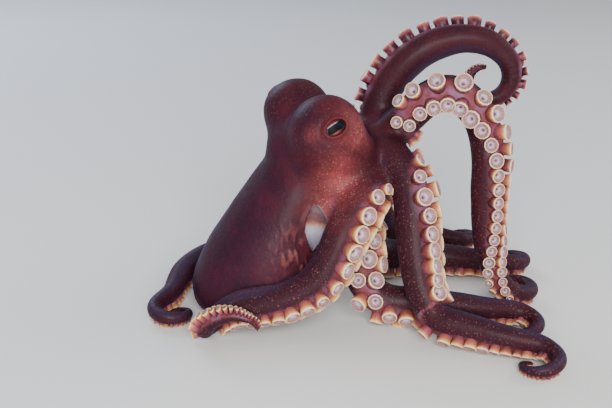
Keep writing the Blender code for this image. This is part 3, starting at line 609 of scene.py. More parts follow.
def stamp(form, pattern, matrix):
    """Adds a placed copy of a mesh, and says how many points it has."""
    before = len(form.verts)
    form.from_mesh(pattern)
    form.verts.ensure_lookup_table()
    bmesh.ops.transform(form, matrix=matrix, verts=form.verts[before:])
    return len(form.verts) - before


def ripple(places, size, shift=0.0):
    """Smooth noise between about -1 and 1 at each place, with lumps of a size."""
    return np.array([noise.noise(Vector(p)) for p in places / size + shift]) * 2


def far_from(places, point):
    return np.linalg.norm(places - point, axis=1)


# Eyes


def eye_place(eye):
    """The eyeball's centre, its gaze, and the long and short way of its pupil."""
    bulb = BULBS[eye]
    gaze = unit(bulb["gaze"])
    centre = bulb["centre"] + gaze * (bulb["radius"] + LID_RISE - EYE_SEAT)
    level = unit(np.cross(UP, gaze))
    rise = np.cross(gaze, level)
    long_axis = level * math.cos(PUPIL_TILT) + rise * math.sin(PUPIL_TILT)
    return centre, gaze, long_axis, np.cross(gaze, long_axis)


def lid_distance(places, eye):
    """How far outside the lids' opening each place lies, seen along the gaze, and if it is on that side."""
    centre, gaze, long_axis, short_axis = eye_place(eye)
    away = places - centre
    u, v = away @ long_axis, away @ short_axis
    reach = np.hypot(u / LID_OPENING[0], v / LID_OPENING[1])
    return (reach - 1) * np.hypot(u, v) / np.maximum(reach, 1e-6), fade(away @ gaze, 1 * MM, 3 * MM)


def eye_cutters():
    cutters = []
    for eye in BULBS:
        centre, gaze, long_axis, short_axis = eye_place(eye)
        cutters.append(ball("socket", centre, (long_axis, short_axis, gaze), [EYEBALL_RADIUS + EYE_GAP] * 3))
        long_half, short_half = long_axis * LID_OPENING[0], short_axis * LID_OPENING[1]
        rings = [oval(centre + gaze * far, long_half * flare, short_half * flare, 48)
                 for far, flare in LID_FLARES]
        cutters.append(swept("opening", rings))
    return cutters


def eyeball(eye):
    """A ball whose pole looks along the gaze."""
    centre, gaze, long_axis, short_axis = eye_place(eye)
    obj = ball(f"eyeball_{eye}", centre, (long_axis, short_axis, gaze), [EYEBALL_RADIUS] * 3, 64, 48)
    away = places_of(obj) - centre
    u, v = away @ long_axis, away @ short_axis
    mark(obj, along_pupil=u / PUPIL_HALF[0], across_pupil=v / PUPIL_HALF[1],
         margin=np.hypot(u / LID_OPENING[0], v / LID_OPENING[1]))
    return obj


def pupil(eye):
    """The dark bar, a thin plate with rounded corners that follows the eyeball."""
    centre, gaze, long_axis, short_axis = eye_place(eye)
    form = bmesh.new()
    bmesh.ops.create_grid(form, x_segments=28, y_segments=12, size=1.0)
    for vertex in form.verts:
        x, y = vertex.co.x, vertex.co.y
        longest = max(abs(x), abs(y))
        if longest > 0:
            power = PUPIL_SQUARENESS
            rounded = longest / (abs(x) ** power + abs(y) ** power) ** (1 / power)
            x, y = x * rounded, y * rounded
        x += PUPIL_SLANT * y
        flat = long_axis * x * PUPIL_HALF[0] + short_axis * y * PUPIL_HALF[1]
        depth = math.sqrt((EYEBALL_RADIUS + PUPIL_RISE) ** 2 - flat @ flat)
        vertex.co = Vector(centre + flat + gaze * depth)
    bmesh.ops.recalc_face_normals(form, faces=form.faces)
    if sum(face.normal @ Vector(gaze) for face in form.faces) < 0:
        bmesh.ops.reverse_faces(form, faces=form.faces)
    return modified(as_object(form, f"pupil_{eye}"), "SOLIDIFY", thickness=2 * PUPIL_RISE, offset=-1.0)


# Flesh


def mantle_form():
    rings = [oval(np.array([x, y, z]), FORWARD * half_x, -RIGHT * half_y, MANTLE_SIDES)
             for z, x, y, half_x, half_y in spline(MANTLE_SLICES, 6) * MM]
    return swept("mantle_form", rings)


def mantle_surface(height, turn):
    """A point on the mantle at a height, and the way out there, by the angle from straight forward."""
    slices = spline(MANTLE_SLICES, 4) * MM
    x, y, half_x, half_y = (float(np.interp(height, slices[:, 0], slices[:, k])) for k in range(1, 5))
    out = FORWARD * math.cos(turn) + RIGHT * math.sin(turn)
    return np.array([x, y, height]) + out * (half_x + half_y) / 2, out


def funnel_line():
    def radii(share):
        return FUNNEL_RADII[0] + (FUNNEL_RADII[1] - FUNNEL_RADII[0]) * share

    points = spline(FUNNEL_ROUTE) * MM
    return route_line(points, radii, np.tile(UP, (len(points), 1)))


def funnel_bore(funnel):
    """A round block in the funnel's open end."""
    radius, ends = FUNNEL_BORE
    axis = unit(funnel["tangents"][-1])
    across = unit(np.cross(axis, UP + 0.2 * RIGHT))
    other = np.cross(axis, across)
    return swept("bore", [oval(funnel["points"][-1] + axis * end, across * radius, other * radius, 32)
                          for end in ends])


def web(first, second, depth):
    """The membrane between two arms, hollowed at its free edge, as a thick sheet."""
    form = bmesh.new()
    bmesh.ops.create_grid(form, x_segments=WEB_STEPS, y_segments=WEB_STEPS, size=1.0)
    for vertex in form.verts:
        u, t = (vertex.co.x + 1) / 2, (vertex.co.y + 1) / 2
        s = depth * u * (1 - WEB_HOLLOW * math.sin(math.pi * t))
        vertex.co = Vector(at(first, "points", s) * (1 - t) + at(second, "points", s) * t)
    bmesh.ops.recalc_face_normals(form, faces=form.faces)
    return modified(as_object(form, "web"), "SOLIDIFY", thickness=WEB_THICKNESS, offset=0.0)


def lips():
    """A low ring round the mouth with a pit in it."""
    root = CROWN_CENTRE + MOUTHWARD * (CROWN_HALF[0] - LIP_ROOT)
    other = np.cross(MOUTHWARD, RIGHT)
    rings = [oval(root + MOUTHWARD * (root_share * LIP_ROOT + rise * LIP_RISE), RIGHT * LIP_RADIUS * wide,
                  other * LIP_RADIUS * wide, 40) for wide, root_share, rise in LIP_PROFILE]
    return swept("lips", rings, root + MOUTHWARD * (LIP_ROOT - LIP_PIT))


def back_fold(line):
    """A thin crest of skin along an arm's back, lowest at its ends."""
    rings = []
    for share, rise in spline(FOLD_RISES, 8):
        s = share * line["s"][-1]
        tangent, look = headings(line, s)
        radius = at(line, "radii", s)
        centre = at(line, "points", s) - look * radius * FOLD_OUT
        half = rise * MM + (1 - FOLD_OUT) * radius
        rings.append(oval(centre, -look * half, np.cross(look, tangent) * FOLD_THICKNESS / 2, 16))
    return swept("back_fold", rings)


def flesh_forms(lines, funnel):
    """All the flesh but the lids and the lips, as overlapping closed forms."""
    level = (FORWARD, RIGHT, UP)
    forms = [
        mantle_form(),
        ball("head_form", HEAD_CENTRE, level, HEAD_HALF),
        ball("crown_form", CROWN_CENTRE, (MOUTHWARD, RIGHT, CROWN_TOP), CROWN_HALF),
        tube("funnel_form", funnel, 0, funnel["s"][-1], 24, 1 * MM),
        back_fold(lines[FOLD_ARM]),
    ]
    for centre, halves in (*CHEEKS, *FILLS):
        forms.append(ball("cheek", np.array(centre) * MM, level, np.array(halves) * MM))
    for bulb in BULBS.values():
        forms.append(ball("bulb", bulb["centre"], level, [bulb["radius"] + BULB_SWELL] * 3))
    for line in lines.values():
        forms.append(tube("arm", line, 0, line["s"][-1], ARM_SIDES, ARM_RING_STEP, pointed=True))
    for (first, second), depth in WEB_DEPTHS.items():
        forms.append(web(lines[first], lines[second], depth * MM))
    return forms


def fused(name, forms):
    """One closed skin round overlapping forms."""
    form = bmesh.new()
    for piece in forms:
        form.from_mesh(piece.data)
        bpy.data.objects.remove(piece)
    return modified(as_object(form, name), "REMESH", mode="VOXEL", voxel_size=GRAIN)


# Skin


def on_arms(places, lines):
    """For each place: its distance down the nearest arm, the arm's radius there, how far it is from the
    arm's centre line, how much it faces the suckers' side, from -1 to 1, and how speckled the arm is."""
    tree = KDTree(len(lines) * PATH_POINTS)
    every = {key: np.concatenate([line[key] for line in lines.values()])
             for key in ("s", "radii", "points", "looks", "tangents")}
    for i, point in enumerate(every["points"]):
        tree.insert(Vector(point), i)
    tree.balance()
    nearest = np.array([tree.find(Vector(p))[1] for p in places])
    away = places - every["points"][nearest]
    tangents = every["tangents"][nearest]
    across = away - tangents * np.sum(away * tangents, axis=1)[:, None]
    looks = every["looks"][nearest]
    looks = looks - tangents * np.sum(looks * tangents, axis=1)[:, None]
    looks /= np.maximum(np.linalg.norm(looks, axis=1), 1e-9)[:, None]
    facing = np.sum(across * looks, axis=1) / np.maximum(np.linalg.norm(across, axis=1), 1e-9)
    specks = np.array([ARM_SPECKS.get(arm, 1.0) for arm in lines])[nearest // PATH_POINTS]
    return every["s"][nearest], every["radii"][nearest], np.linalg.norm(away, axis=1), facing, specks


def soften(obj, weights, passes):
    """Smooths the skin, by a weight from 0 to 1 at each point."""
    group = obj.vertex_groups.new(name="soft")
    levels = np.round(weights * 20).astype(int)
    for level in np.unique(levels):
        group.add(np.flatnonzero(levels == level).tolist(), level / 20, "REPLACE")
    modified(obj, "SMOOTH", factor=0.5, iterations=passes, vertex_group="soft")
    obj.vertex_groups.clear()


def body_weights(obj, lines):
    """1 where forms join on the body, and little along the arms' own lengths."""
    s, radii, far, _, _ = on_arms(places_of(obj), lines)
    return 1 - (1 - ARM_SOFTNESS) * fade(s, *ARM_OWN) * (far < ARM_NEAR * radii)


def head_weights(obj):
    """1 round the eye bulbs, fading to 0 over the rest of the body."""
    far = [far_from(places_of(obj), bulb["centre"]) for bulb in BULBS.values()]
    return 1 - fade(np.minimum.reduce(far), *HEAD_BLEND)


def slit_reach(places, side):
    """How far each place is from the middle of a leaf-shaped gill slit, as a share of its half sizes."""
    centre, out = mantle_surface(SLIT_HEIGHT, SLIT_TURN * side)
    away = places - centre
    deep, wide, high = (away @ way / half for way, half in zip((out, np.cross(UP, out), UP), SLIT_HALF))
    return np.sqrt(deep**2 + (wide / leaf_width(high)) ** 2 + high**2)


def leaf_width(high):
    """How much narrower the slit is than an oval, by the height from its middle as a share."""
    return np.sqrt(1 - 0.9 * np.clip(np.abs(high), 0, 1) ** 1.5)


def slit_cutters():
    cutters = []
    for side in (1, -1):
        centre, out = mantle_surface(SLIT_HEIGHT, SLIT_TURN * side)
        sideways = np.cross(UP, out)
        slit = ball("slit", centre, (out, sideways, UP), SLIT_HALF)
        away = places_of(slit) - centre
        narrower = leaf_width(away[:, 2] / SLIT_HALF[2]) - 1
        move_to(slit, centre + away + (away @ sideways * narrower)[:, None] * sideways)
        cutters.append(slit)
    groove = []
    for turn in np.linspace(-SLIT_TURN, SLIT_TURN, 41):
        centre, out = mantle_surface(GROOVE_HEIGHT, turn)
        groove.append(oval(centre, out * GROOVE_RADIUS, UP * GROOVE_RADIUS, 12))
    return [*cutters, swept("groove", groove)]


def mantle_folds(places):
    """Short upright welts in the mantle's skin behind each slit."""
    from_axis = places - FOLDS_AXIS
    turn = np.abs(np.arctan2(from_axis @ RIGHT, from_axis @ FORWARD))
    band = hump(turn, *FOLDS_TURN) * hump(places[:, 2], *FOLDS_HEIGHT)
    pattern = np.stack([turn, places[:, 2], np.sign(from_axis @ RIGHT)], axis=1) * FOLDS_SCALE
    on_mantle = far_from(from_axis[:, :2], 0) < FOLDS_REACH
    return band * fade(ripple(pattern, FOLDS_WIDTH, 5.0), 0.15, 0.75) * on_mantle


def sculpt(obj):
    """Raises the lids' margins, the slits' lips, the mantle's folds and soft lumps all over."""
    places = places_of(obj)
    rise = sum(ripple(places, size, shift) * height for size, shift, height in SKIN_LUMPS)
    for eye in BULBS:
        distance, front = lid_distance(places, eye)
        rise += sum(height * hump(distance, middle, width) for middle, width, height in LID_WAVES) * front
    for side in (1, -1):
        middle, width, height = SLIT_LIPS
        rise += height * hump(slit_reach(places, side), middle, width)
    rise += FOLDS_RISE * mantle_folds(places)
    move_to(obj, places + vectors(obj.data.vertex_normals, "vector") * rise[:, None])


def mark_skin(obj, lines):
    """What the skin's material needs to know about each place."""
    places = places_of(obj)
    s, radii, far, facing, specks = on_arms(places, lines)
    arm = fade(s, 4 * MM, 14 * MM) * (1 - fade(far / radii, 1.2, 1.7))
    lids = [lid_distance(places, eye) for eye in BULBS]
    reddened = blush(places)
    off_bulbs = [far_from(places, bulb["centre"]) - bulb["radius"] for bulb in BULBS.values()]
    bulbs = 1 - fade(np.minimum.reduce(off_bulbs), 0, 2 * MM)
    mark(obj,
         arm=arm,
         underside=arm * fade(facing, 0.45, 0.92),
         # edge: the arms' backs, where the material paints a bluish sheen into the colour
         edge=arm * fade(-facing, 0.75, 0.97),
         lid=sum(hump(distance, 0.3 * MM, 1.1 * MM) * front for distance, front in lids),
         lining=np.maximum.reduce([1 - fade(slit_reach(places, side), 1.0, 1.06) for side in (1, -1)]),
         lining_rise=(places[:, 2] - SLIT_HEIGHT) / SLIT_HALF[2],
         blush=reddened,
         # fold: the welts' crests, which the material paints pinker as a painted highlight
         fold=mantle_folds(places),
         dotted=np.maximum.reduce([specks * arm * (1 - fade(facing, 0.6, 0.95)), 0.4 * bulbs,
                                   np.minimum(1.4 * reddened, 1)]),
         # back: where bluish water light falls on the animal's back, painted into the colour as painted light
         back=(1 - 0.5 * arm) * fade((HEAD_CENTRE - places) @ FORWARD, 2 * MM, 18 * MM))


def blush(places):
    """Redder skin below each eye in a column to the slit, before and behind the eye, and behind the slit."""
    total = np.zeros(len(places))
    for eye, side in (("right", 1), ("left", -1)):
        centre, gaze, _, _ = eye_place(eye)
        (height, turn), *last = MANTLE_BLUSH
        spots = [(mantle_surface(height, turn * side)[0], *last)]
        spots += [(np.array(place) * MM, *rest) for place, *rest in COLUMNS[eye]]
        spots += [(centre + np.array(away) @ (gaze, FORWARD, UP) * MM, *rest) for away, *rest in EYE_BLUSH]
        for spot, size, strength in spots:
            total = np.maximum(total, strength * hump(far_from(places, spot), 0, size * MM))
    return total


def make_skin(lines, funnel):
    flesh = fused("flesh", flesh_forms(lines, funnel))
    soften(flesh, body_weights(flesh, lines), BODY_PASSES)
    soften(flesh, head_weights(flesh), HEAD_PASSES)
    lids = [ball("lid", eye_place(eye)[0], (FORWARD, RIGHT, UP), [EYE_SEAT + LID_SWELL] * 3) for eye in BULBS]
    skin = fused("skin", [flesh, *lids, lips()])
    soften(skin, body_weights(skin, lines), LID_PASSES)
    sculpt(skin)
    cut_out(skin, [*eye_cutters(), *slit_cutters(), funnel_bore(funnel)])
    skin.data.calc_loop_triangles()
    modified(skin, "DECIMATE", ratio=min(1, SKIN_TRIANGLES / len(skin.data.loop_triangles)))
    keep_above_floor(skin)
    mark_skin(skin, lines)
    skin.data.shade_smooth()
    return skin


# Suckers


def rim_radius(line, s):
    """A sucker's radius, smaller by the mouth and shrinking with the arm towards its tip."""
    share = min(1, (s - SUCKER_FIRST) / (SUCKER_FULL - SUCKER_FIRST))
    grown = SUCKER_AT_MOUTH + (1 - SUCKER_AT_MOUTH) * share
    return max(SUCKER_RIM * at(line, "radii", s) * grown, SUCKER_LEAST)


def sucker_stops(line):
    stops, s = [], SUCKER_FIRST
    while s < line["s"][-1] - SUCKER_LEAST:
        stops.append(s)
        s += np.interp(s, (0, line["s"][-1]), SUCKER_STEPS) * rim_radius(line, s)
    return stops


def sucker_pattern(sides):
    """A sucker of rim radius 1: its side view spun round its axis."""
    profile = SUCKER_PROFILES[sides]
    form = bmesh.new()
    points = [form.verts.new((out, 0, up)) for out, up, _ in profile]
    edges = [form.edges.new(pair) for pair in zip(points, points[1:])]
    bmesh.ops.spin(form, geom=[*points, *edges], cent=(0, 0, 0), axis=(0, 0, 1), angle=2 * math.pi,
                   steps=sides, use_merge=True)
    bmesh.ops.remove_doubles(form, verts=form.verts, dist=1e-4)
    bmesh.ops.holes_fill(form, edges=[e for e in form.edges if e.is_boundary], sides=0)
    outward(form)
    layer = form.loops.layers.uv.new("UVMap")
    for face in form.faces:
        turns = [math.atan2(corner.vert.co.y, corner.vert.co.x) / (2 * math.pi) % 1 for corner in face.loops]
        wraps = max(turns) - min(turns) > 0.5
        for corner, turn in zip(face.loops, turns):
            corner[layer].uv = (turn + (wraps and turn < 0.5), profile_share(profile, corner.vert.co))
    return as_mesh(form, "sucker_pattern")


def profile_share(profile, place):
    """How far a point of the side view is from the root to the hollow's bottom."""
    out, up = math.hypot(place.x, place.y), place.z
    return min(profile, key=lambda point: math.hypot(out - point[0], up - point[1]))[2]


def sucker_matrix(line, s, row, change, draw):
    """Where a sucker goes: its rim stands out from the arm and leans to its row's side."""
    tangent, look = headings(line, s)
    start, roll, wider, taller = change
    changed = float(fade(s / line["s"][-1], start - CHANGE_BLEND, start + CHANGE_BLEND))
    turn = ROW_SPREAD * row + roll * changed
    axis = look * math.cos(turn) + np.cross(tangent, look) * math.sin(turn)
    rim = rim_radius(line, s) * (1 + (wider - 1) * changed)
    height = at(line, "radii", s) + rim * SUCKER_HEIGHT * (1 + (taller - 1) * changed)
    lean, turn = draw.uniform(0, SUCKER_TILT), draw.uniform(0, 2 * math.pi)
    across = np.cross(axis, tangent)
    tilted = unit(axis + math.tan(lean) * (across * math.cos(turn) + tangent * math.sin(turn)))
    across = unit(np.cross(tilted, tangent))
    rim *= 1 + draw.uniform(-1, 1) * SUCKER_VARIETY
    wide, long = (rim * (1 + draw.uniform(-1, 1) * SUCKER_VARIETY / 2) for _ in range(2))
    long *= np.interp(rim, *SUCKER_SQUEEZE) * (1 - LARGE_SQUEEZE * (wider > 1) * changed)
    columns = np.stack([across * wide, np.cross(tilted, across) * long, tilted * rim], axis=1)
    return placing(columns, at(line, "points", s) + axis * height)


def make_suckers(arm, line, patterns, seed):
    """All the suckers of one arm in one piece."""
    draw = random.Random(seed)
    form = bmesh.new()
    warmth = []
    for i, s in enumerate(sucker_stops(line)):
        place = sucker_matrix(line, s, 1 if i % 2 else -1, SUCKER_CHANGES.get(arm, NO_CHANGE), draw)
        added = stamp(form, patterns[8 if rim_radius(line, s) < SUCKER_SMALL else 12], place)
        warmth += [STALK_WARMTH[arm] + draw.uniform(-WARMTH_VARIETY, WARMTH_VARIETY)] * added
    obj = as_object(form, f"suckers_{arm}")
    mark(obj, warmth=warmth)
    keep_above_floor(obj)
    obj.data.shade_smooth()
    return obj


# Warts


def wart_spots(lines, draw):
    """Random places near the skin's outer sides, each with the size of its wart."""
    spots = []
    for arm, line in lines.items():
        for _ in range(round(WARTS_PER_ARM * ARM_SPECKS.get(arm, 1.0))):
            s = line["s"][-1] * draw.uniform(*WART_SHARES)
            tangent, look = headings(line, s)
            turn = math.pi + draw.uniform(-1, 1) * WART_SPREAD
            out = look * math.cos(turn) + np.cross(tangent, look) * math.sin(turn)
            radius = at(line, "radii", s)
            size = draw.uniform(*WART_SIZES) * radius / ARM_BASE_RADIUS
            spots.append((at(line, "points", s) + out * radius, size))
    for _ in range(WARTS_ON_HEAD):
        out = unit([draw.gauss(0, 1) for _ in range(3)])
        bulb = BULBS[draw.choice(list(BULBS))]
        spots.append((bulb["centre"] + out * bulb["radius"], draw.uniform(*WART_SIZES) * HEAD_WART_SIZE))
    return spots


def make_warts(skin, lines):
    """Low domes sunk in the skin."""
    draw = random.Random(WART_SEED)
    tree = BVHTree.FromPolygons([v.co for v in skin.data.vertices], [p.vertices for p in skin.data.polygons])
    dome = bmesh.new()
    bmesh.ops.create_icosphere(dome, subdivisions=1, radius=1.0)
    outward(dome)
    pattern = as_mesh(dome, "wart_pattern")
    form = bmesh.new()
    for spot, size in wart_spots(lines, draw):
        place, normal, _, far = tree.find_nearest(Vector(spot))
        by_lid = any(abs(lid_distance(np.array([place]), eye)[0][0]) < WART_TO_LID for eye in BULBS)
        if far > WART_TO_SKIN or place.z < WART_TO_FLOOR or by_lid:
            continue
        turn = normal.to_track_quat("Z", "Y").to_matrix().to_4x4()
        sized = Matrix.Diagonal((size, size, size * WART_HEIGHT, 1))
        stamp(form, pattern, Matrix.Translation(place) @ turn @ sized)
    obj = as_object(form, "warts")
    obj.data.shade_smooth()
    return obj


# Material nodes


def add(tree, kind, inputs=None, **settings):
    """A new node with its settings and inputs, where an input may be another node's output."""
    made = tree.nodes.new("ShaderNode" + kind)
    for key, value in settings.items():
        setattr(made, key, value)
    for socket, value in (inputs or {}).items():
        if isinstance(value, bpy.types.NodeSocket):
            tree.links.new(value, made.inputs[socket])
        else:
            made.inputs[socket].default_value = value
    return made


def rgb(colour):
    return (*colour, 1.0) if isinstance(colour, tuple) else colour


def mixed(tree, share, first, second):
    return add(tree, "Mix", {0: share, 6: rgb(first), 7: rgb(second)}, data_type="RGBA").outputs[2]


def layered(tree, colour, layers):
    """Paints layers over a colour, each by its mask, its strength and its own colour."""
    for mask, strength, paint in layers:
        colour = mixed(tree, times(tree, mask, strength), colour, paint)
    return colour


def combined(tree, operation, first, second=0.0):
    return add(tree, "Math", {0: first, 1: second}, operation=operation).outputs[0]


def times(tree, first, second):
    return combined(tree, "MULTIPLY", first, second)


def spread(tree, value, low, high, first=0.0, last=1.0):
    """A value's range from low to high, taken smoothly to another range."""
    inputs = {"Value": value, "From Min": low, "From Max": high, "To Min": first, "To Max": last}
    return add(tree, "MapRange", inputs, interpolation_type="SMOOTHSTEP").outputs[0]


def on_piece(tree):
    """Coordinates that stay with the piece."""
    return add(tree, "TexCoord").outputs["Object"]


def clouds(tree, scale, detail=3.0, roughness=0.5, output="Fac"):
    inputs = {"Vector": on_piece(tree), "Scale": scale, "Detail": detail, "Roughness": roughness}
    return add(tree, "TexNoise", inputs).outputs[output]


def cells(tree, scale, where, feature="F1"):
    return add(tree, "TexVoronoi", {"Vector": where, "Scale": scale}, feature=feature).outputs


def attribute(tree, name):
    return add(tree, "Attribute", attribute_name=name).outputs["Fac"]


def colour_ramp(tree, value, stops):
    ramp = add(tree, "ValToRGB", {"Fac": value})
    while len(ramp.color_ramp.elements) < len(stops):
        ramp.color_ramp.elements.new(0.5)
    for element, (place, colour) in zip(ramp.color_ramp.elements, stops):
        element.position = place
        element.color = rgb(colour)
    return ramp.outputs[0]


def grain_group():
    """Moist skin's fine relief, as a normal, with room for a material's own extra relief."""
    tree = bpy.data.node_groups.new("grain", "ShaderNodeTree")
    for label, value in (("Relief", 0.00005), ("Extra", 0.0)):
        socket = tree.interface.new_socket(name=label, in_out="INPUT", socket_type="NodeSocketFloat")
        socket.default_value = value
    tree.interface.new_socket(name="Normal", in_out="OUTPUT", socket_type="NodeSocketVector")
    given, result = tree.nodes.new("NodeGroupInput"), tree.nodes.new("NodeGroupOutput")
    creases = cells(tree, 750.0, on_piece(tree), "DISTANCE_TO_EDGE")["Distance"]
    height = combined(tree, "ADD", clouds(tree, 1500.0, 4.0, 0.6), spread(tree, creases, 0.0, 0.25, 0.0, 0.6))
    height = combined(tree, "ADD", height, given.outputs["Extra"])
    bump = add(tree, "Bump", {"Height": height, "Distance": given.outputs["Relief"], "Strength": 1.0})
    tree.links.new(bump.outputs["Normal"], result.inputs["Normal"])
    return tree


def grained(tree, shader, grain, **values):
    relief = add(tree, "Group", values, node_tree=grain)
    tree.links.new(relief.outputs["Normal"], shader.inputs["Normal"])


# Materials


def new_material(name, **sockets):
    made = bpy.data.materials.new(name)
    made.use_nodes = True
    tree = made.node_tree
    shader = tree.nodes["Principled BSDF"]
    for socket, value in sockets.items():
        shader.inputs[socket.replace("_", " ")].default_value = value
    return made, tree, shader


def moist_material(name, coat, roughness=0.5, light_in=0.1):
    """Wet flesh: a thin gloss, a bluish sheen at grazing angles and a little light let in."""
    return new_material(
        name, Roughness=roughness, Specular_IOR_Level=0.10, Coat_Weight=coat, Coat_Roughness=0.25,
        Sheen_Weight=0.05, Sheen_Roughness=0.25, Sheen_Tint=(0.20, 0.22, 0.80, 1),
        Subsurface_Weight=light_in, Subsurface_Radius=(1.0, 0.35, 0.25), Subsurface_Scale=0.0012)


def pigments(tree):
    """The skin's pattern: soft mottling, a net of dark veins, colour cells and pale specks."""
    where = on_piece(tree)
    bend = add(tree, "VectorMath", {0: clouds(tree, 260.0, output="Color"), 1: (0.0022, 0.0022, 0.0022)},
               operation="MULTIPLY").outputs[0]
    bent = add(tree, "VectorMath", {0: where, 1: bend}, operation="ADD").outputs[0]
    specks = cells(tree, 1750.0, where)
    split = add(tree, "SeparateColor", {0: specks["Color"]})
    chance, tone = split.outputs[0], split.outputs[1]
    patches = spread(tree, clouds(tree, 330.0, 3.0, 0.6), 0.36, 0.60)
    reach = combined(tree, "ADD", times(tree, chance, 0.22), 0.22)
    reach = times(tree, reach, spread(tree, patches, 0.0, 1.0, 0.7, 1.1))
    return {
        "mottle": spread(tree, clouds(tree, 120.0, 5.0, 0.6), 0.38, 0.64),
        "tint": spread(tree, clouds(tree, 55.0, 2.0), 0.40, 0.62),
        "veins": spread(tree, cells(tree, 480.0, bent, "DISTANCE_TO_EDGE")["Distance"], 0.14, 0.0),
        "cells": spread(tree, cells(tree, 2600.0, where)["Distance"], 0.5, 0.2),
        "specks": spread(tree, combined(tree, "DIVIDE", specks["Distance"], reach), 1.15, 0.5),
        "tone": tone,
    }


def skin_material(grain):
    made, tree, shader = moist_material("octopus_skin", 0.05)
    marks = pigments(tree)
    blushing = attribute(tree, "blush")
    specks = times(tree, marks["specks"], attribute(tree, "dotted"))
    pale = mixed(tree, marks["tone"], (0.055, 0.016, 0.018), (0.13, 0.058, 0.052))
    pale = mixed(tree, blushing, pale, (0.36, 0.16, 0.12))
    colour = mixed(tree, marks["mottle"], (0.022, 0.0035, 0.0065), (0.054, 0.0055, 0.0100))
    colour = layered(tree, colour, (
        (marks["tint"], 0.5, (0.020, 0.0045, 0.0130)),
        # Painted bluish water light on the back of the mantle, the head and the arms.
        (attribute(tree, "back"), 0.5, (0.016, 0.0060, 0.0220)),
        (attribute(tree, "arm"), 0.6, (0.022, 0.0055, 0.0110)),
        (blushing, spread(tree, marks["mottle"], 0.0, 1.0, 0.65, 1.0), (0.28, 0.054, 0.056)),
        # Pinker crests on the mantle's welts, a painted highlight.
        (attribute(tree, "fold"), 0.7, (0.17, 0.045, 0.043)),
        (marks["cells"], 0.25, (0.080, 0.009, 0.012)),
        (marks["veins"], 0.2, (0.012, 0.003, 0.008)),
        (specks, 0.85, pale),
        (attribute(tree, "lid"), 0.3, (0.11, 0.014, 0.014)),
        # A painted bluish sheen along the arms' backs.
        (attribute(tree, "edge"), 0.45, (0.026, 0.018, 0.050)),
        (attribute(tree, "underside"), 0.75, inner_colour(tree)),
        (attribute(tree, "lining"), 1.0, lining_colour(tree)),
    ))
    tree.links.new(colour, shader.inputs["Base Color"])
    tree.links.new(spread(tree, marks["mottle"], 0.0, 1.0, 0.54, 0.70), shader.inputs["Roughness"])
    grained(tree, shader, grain, Extra=times(tree, specks, 3.0))
    return made


def inner_colour(tree):
    """The arms' sucker side: pink with lilac patches."""
    patches = spread(tree, clouds(tree, 300.0), 0.42, 0.62)
    return mixed(tree, patches, (0.17, 0.040, 0.046), (0.20, 0.08, 0.14))


def lining_colour(tree):
    """Inside the gill slits: bluish white below, then orange, and purple brown to pinkish above, with painted
    shade in the darker foot and the purple brown.
    """
    bend = spread(tree, clouds(tree, 420.0, 2.0), 0.3, 0.7, -0.06, 0.06)
    height = spread(tree, combined(tree, "ADD", attribute(tree, "lining_rise"), bend), -1.0, 1.0)
    return colour_ramp(tree, height, LINING_AND_PAINTED_SHADE)


def sucker_material(grain):
    """Orange to purple stalk, cream rim and pinkish ribbed cup, with painted shade on its inner wall and at
    the hollow's bottom, by the place along the sucker's side view.
    """
    made, tree, shader = moist_material("sucker_flesh", 0.15, 0.4, 0.25)
    split = add(tree, "SeparateXYZ", {0: add(tree, "UVMap", uv_map="UVMap").outputs[0]})
    turn, share = split.outputs[0], split.outputs[1]
    cool, warm = colour_ramp(tree, share, PURPLE_STALK), colour_ramp(tree, share, ORANGE_STALK)
    colour = mixed(tree, spread(tree, attribute(tree, "warmth"), 0.1, 0.9), cool, warm)
    uneven = spread(tree, clouds(tree, 420.0), 0.48, 0.70, 0.0, 0.55)
    colour = layered(tree, colour, [(uneven, spread(tree, share, 0.46, 0.30), (0.26, 0.060, 0.11))])
    tree.links.new(colour, shader.inputs["Base Color"])
    ribs = combined(tree, "SINE", times(tree, turn, 2 * math.pi * SUCKER_RIBS))
    in_cup = times(tree, spread(tree, share, 0.55, 0.64), spread(tree, share, 0.84, 0.76))
    grained(tree, shader, grain, Extra=times(tree, ribs, in_cup), Relief=0.00008)
    return made


def wart_material(grain):
    made, tree, shader = moist_material("wart_skin", 0.1)
    uneven = spread(tree, clouds(tree, 380.0, 2.0), 0.40, 0.62)
    colour = mixed(tree, uneven, (0.035, 0.009, 0.012), (0.090, 0.032, 0.030))
    tree.links.new(colour, shader.inputs["Base Color"])
    grained(tree, shader, grain, Relief=0.00006)
    return made


def eye_material():
    """A dark maroon iris, reddish behind the pupil and lilac at its end, with a pale line over the pupil and
    painted shade by the lids.
    """
    made, tree, shader = new_material("iris", Roughness=0.4, Specular_IOR_Level=0.1, Coat_Weight=0.02,
                                      Coat_Roughness=0.05)
    along, across = attribute(tree, "along_pupil"), attribute(tree, "across_pupil")
    line = times(tree, spread(tree, across, 0.85, 0.98), spread(tree, across, 1.32, 1.10))
    flecks = spread(tree, clouds(tree, 1700.0), 0.45, 0.65)
    colour = layered(tree, (0.040, 0.008, 0.010), (
        (spread(tree, along, 0.55, -0.25), spread(tree, across, 0.0, -1.0), (0.17, 0.036, 0.028)),
        (spread(tree, along, 0.8, 0.2), spread(tree, across, 0.6, 1.3), (0.13, 0.033, 0.030)),
        (spread(tree, along, -0.7, -1.05), 1.0, (0.15, 0.055, 0.10)),
        (line, spread(tree, along, 0.7, 0.1), (0.36, 0.22, 0.26)),
        (flecks, 0.35, (0.12, 0.02, 0.02)),
        # Painted shade under the lids: darker towards the edge of their opening.
        (spread(tree, attribute(tree, "margin"), 0.62, 0.98), 1.0, (0.026, 0.006, 0.008)),
    ))
    tree.links.new(colour, shader.inputs["Base Color"])
    bump = add(tree, "Bump", {"Height": flecks, "Distance": 0.00003, "Strength": 0.6})
    tree.links.new(bump.outputs["Normal"], shader.inputs["Normal"])
    return made


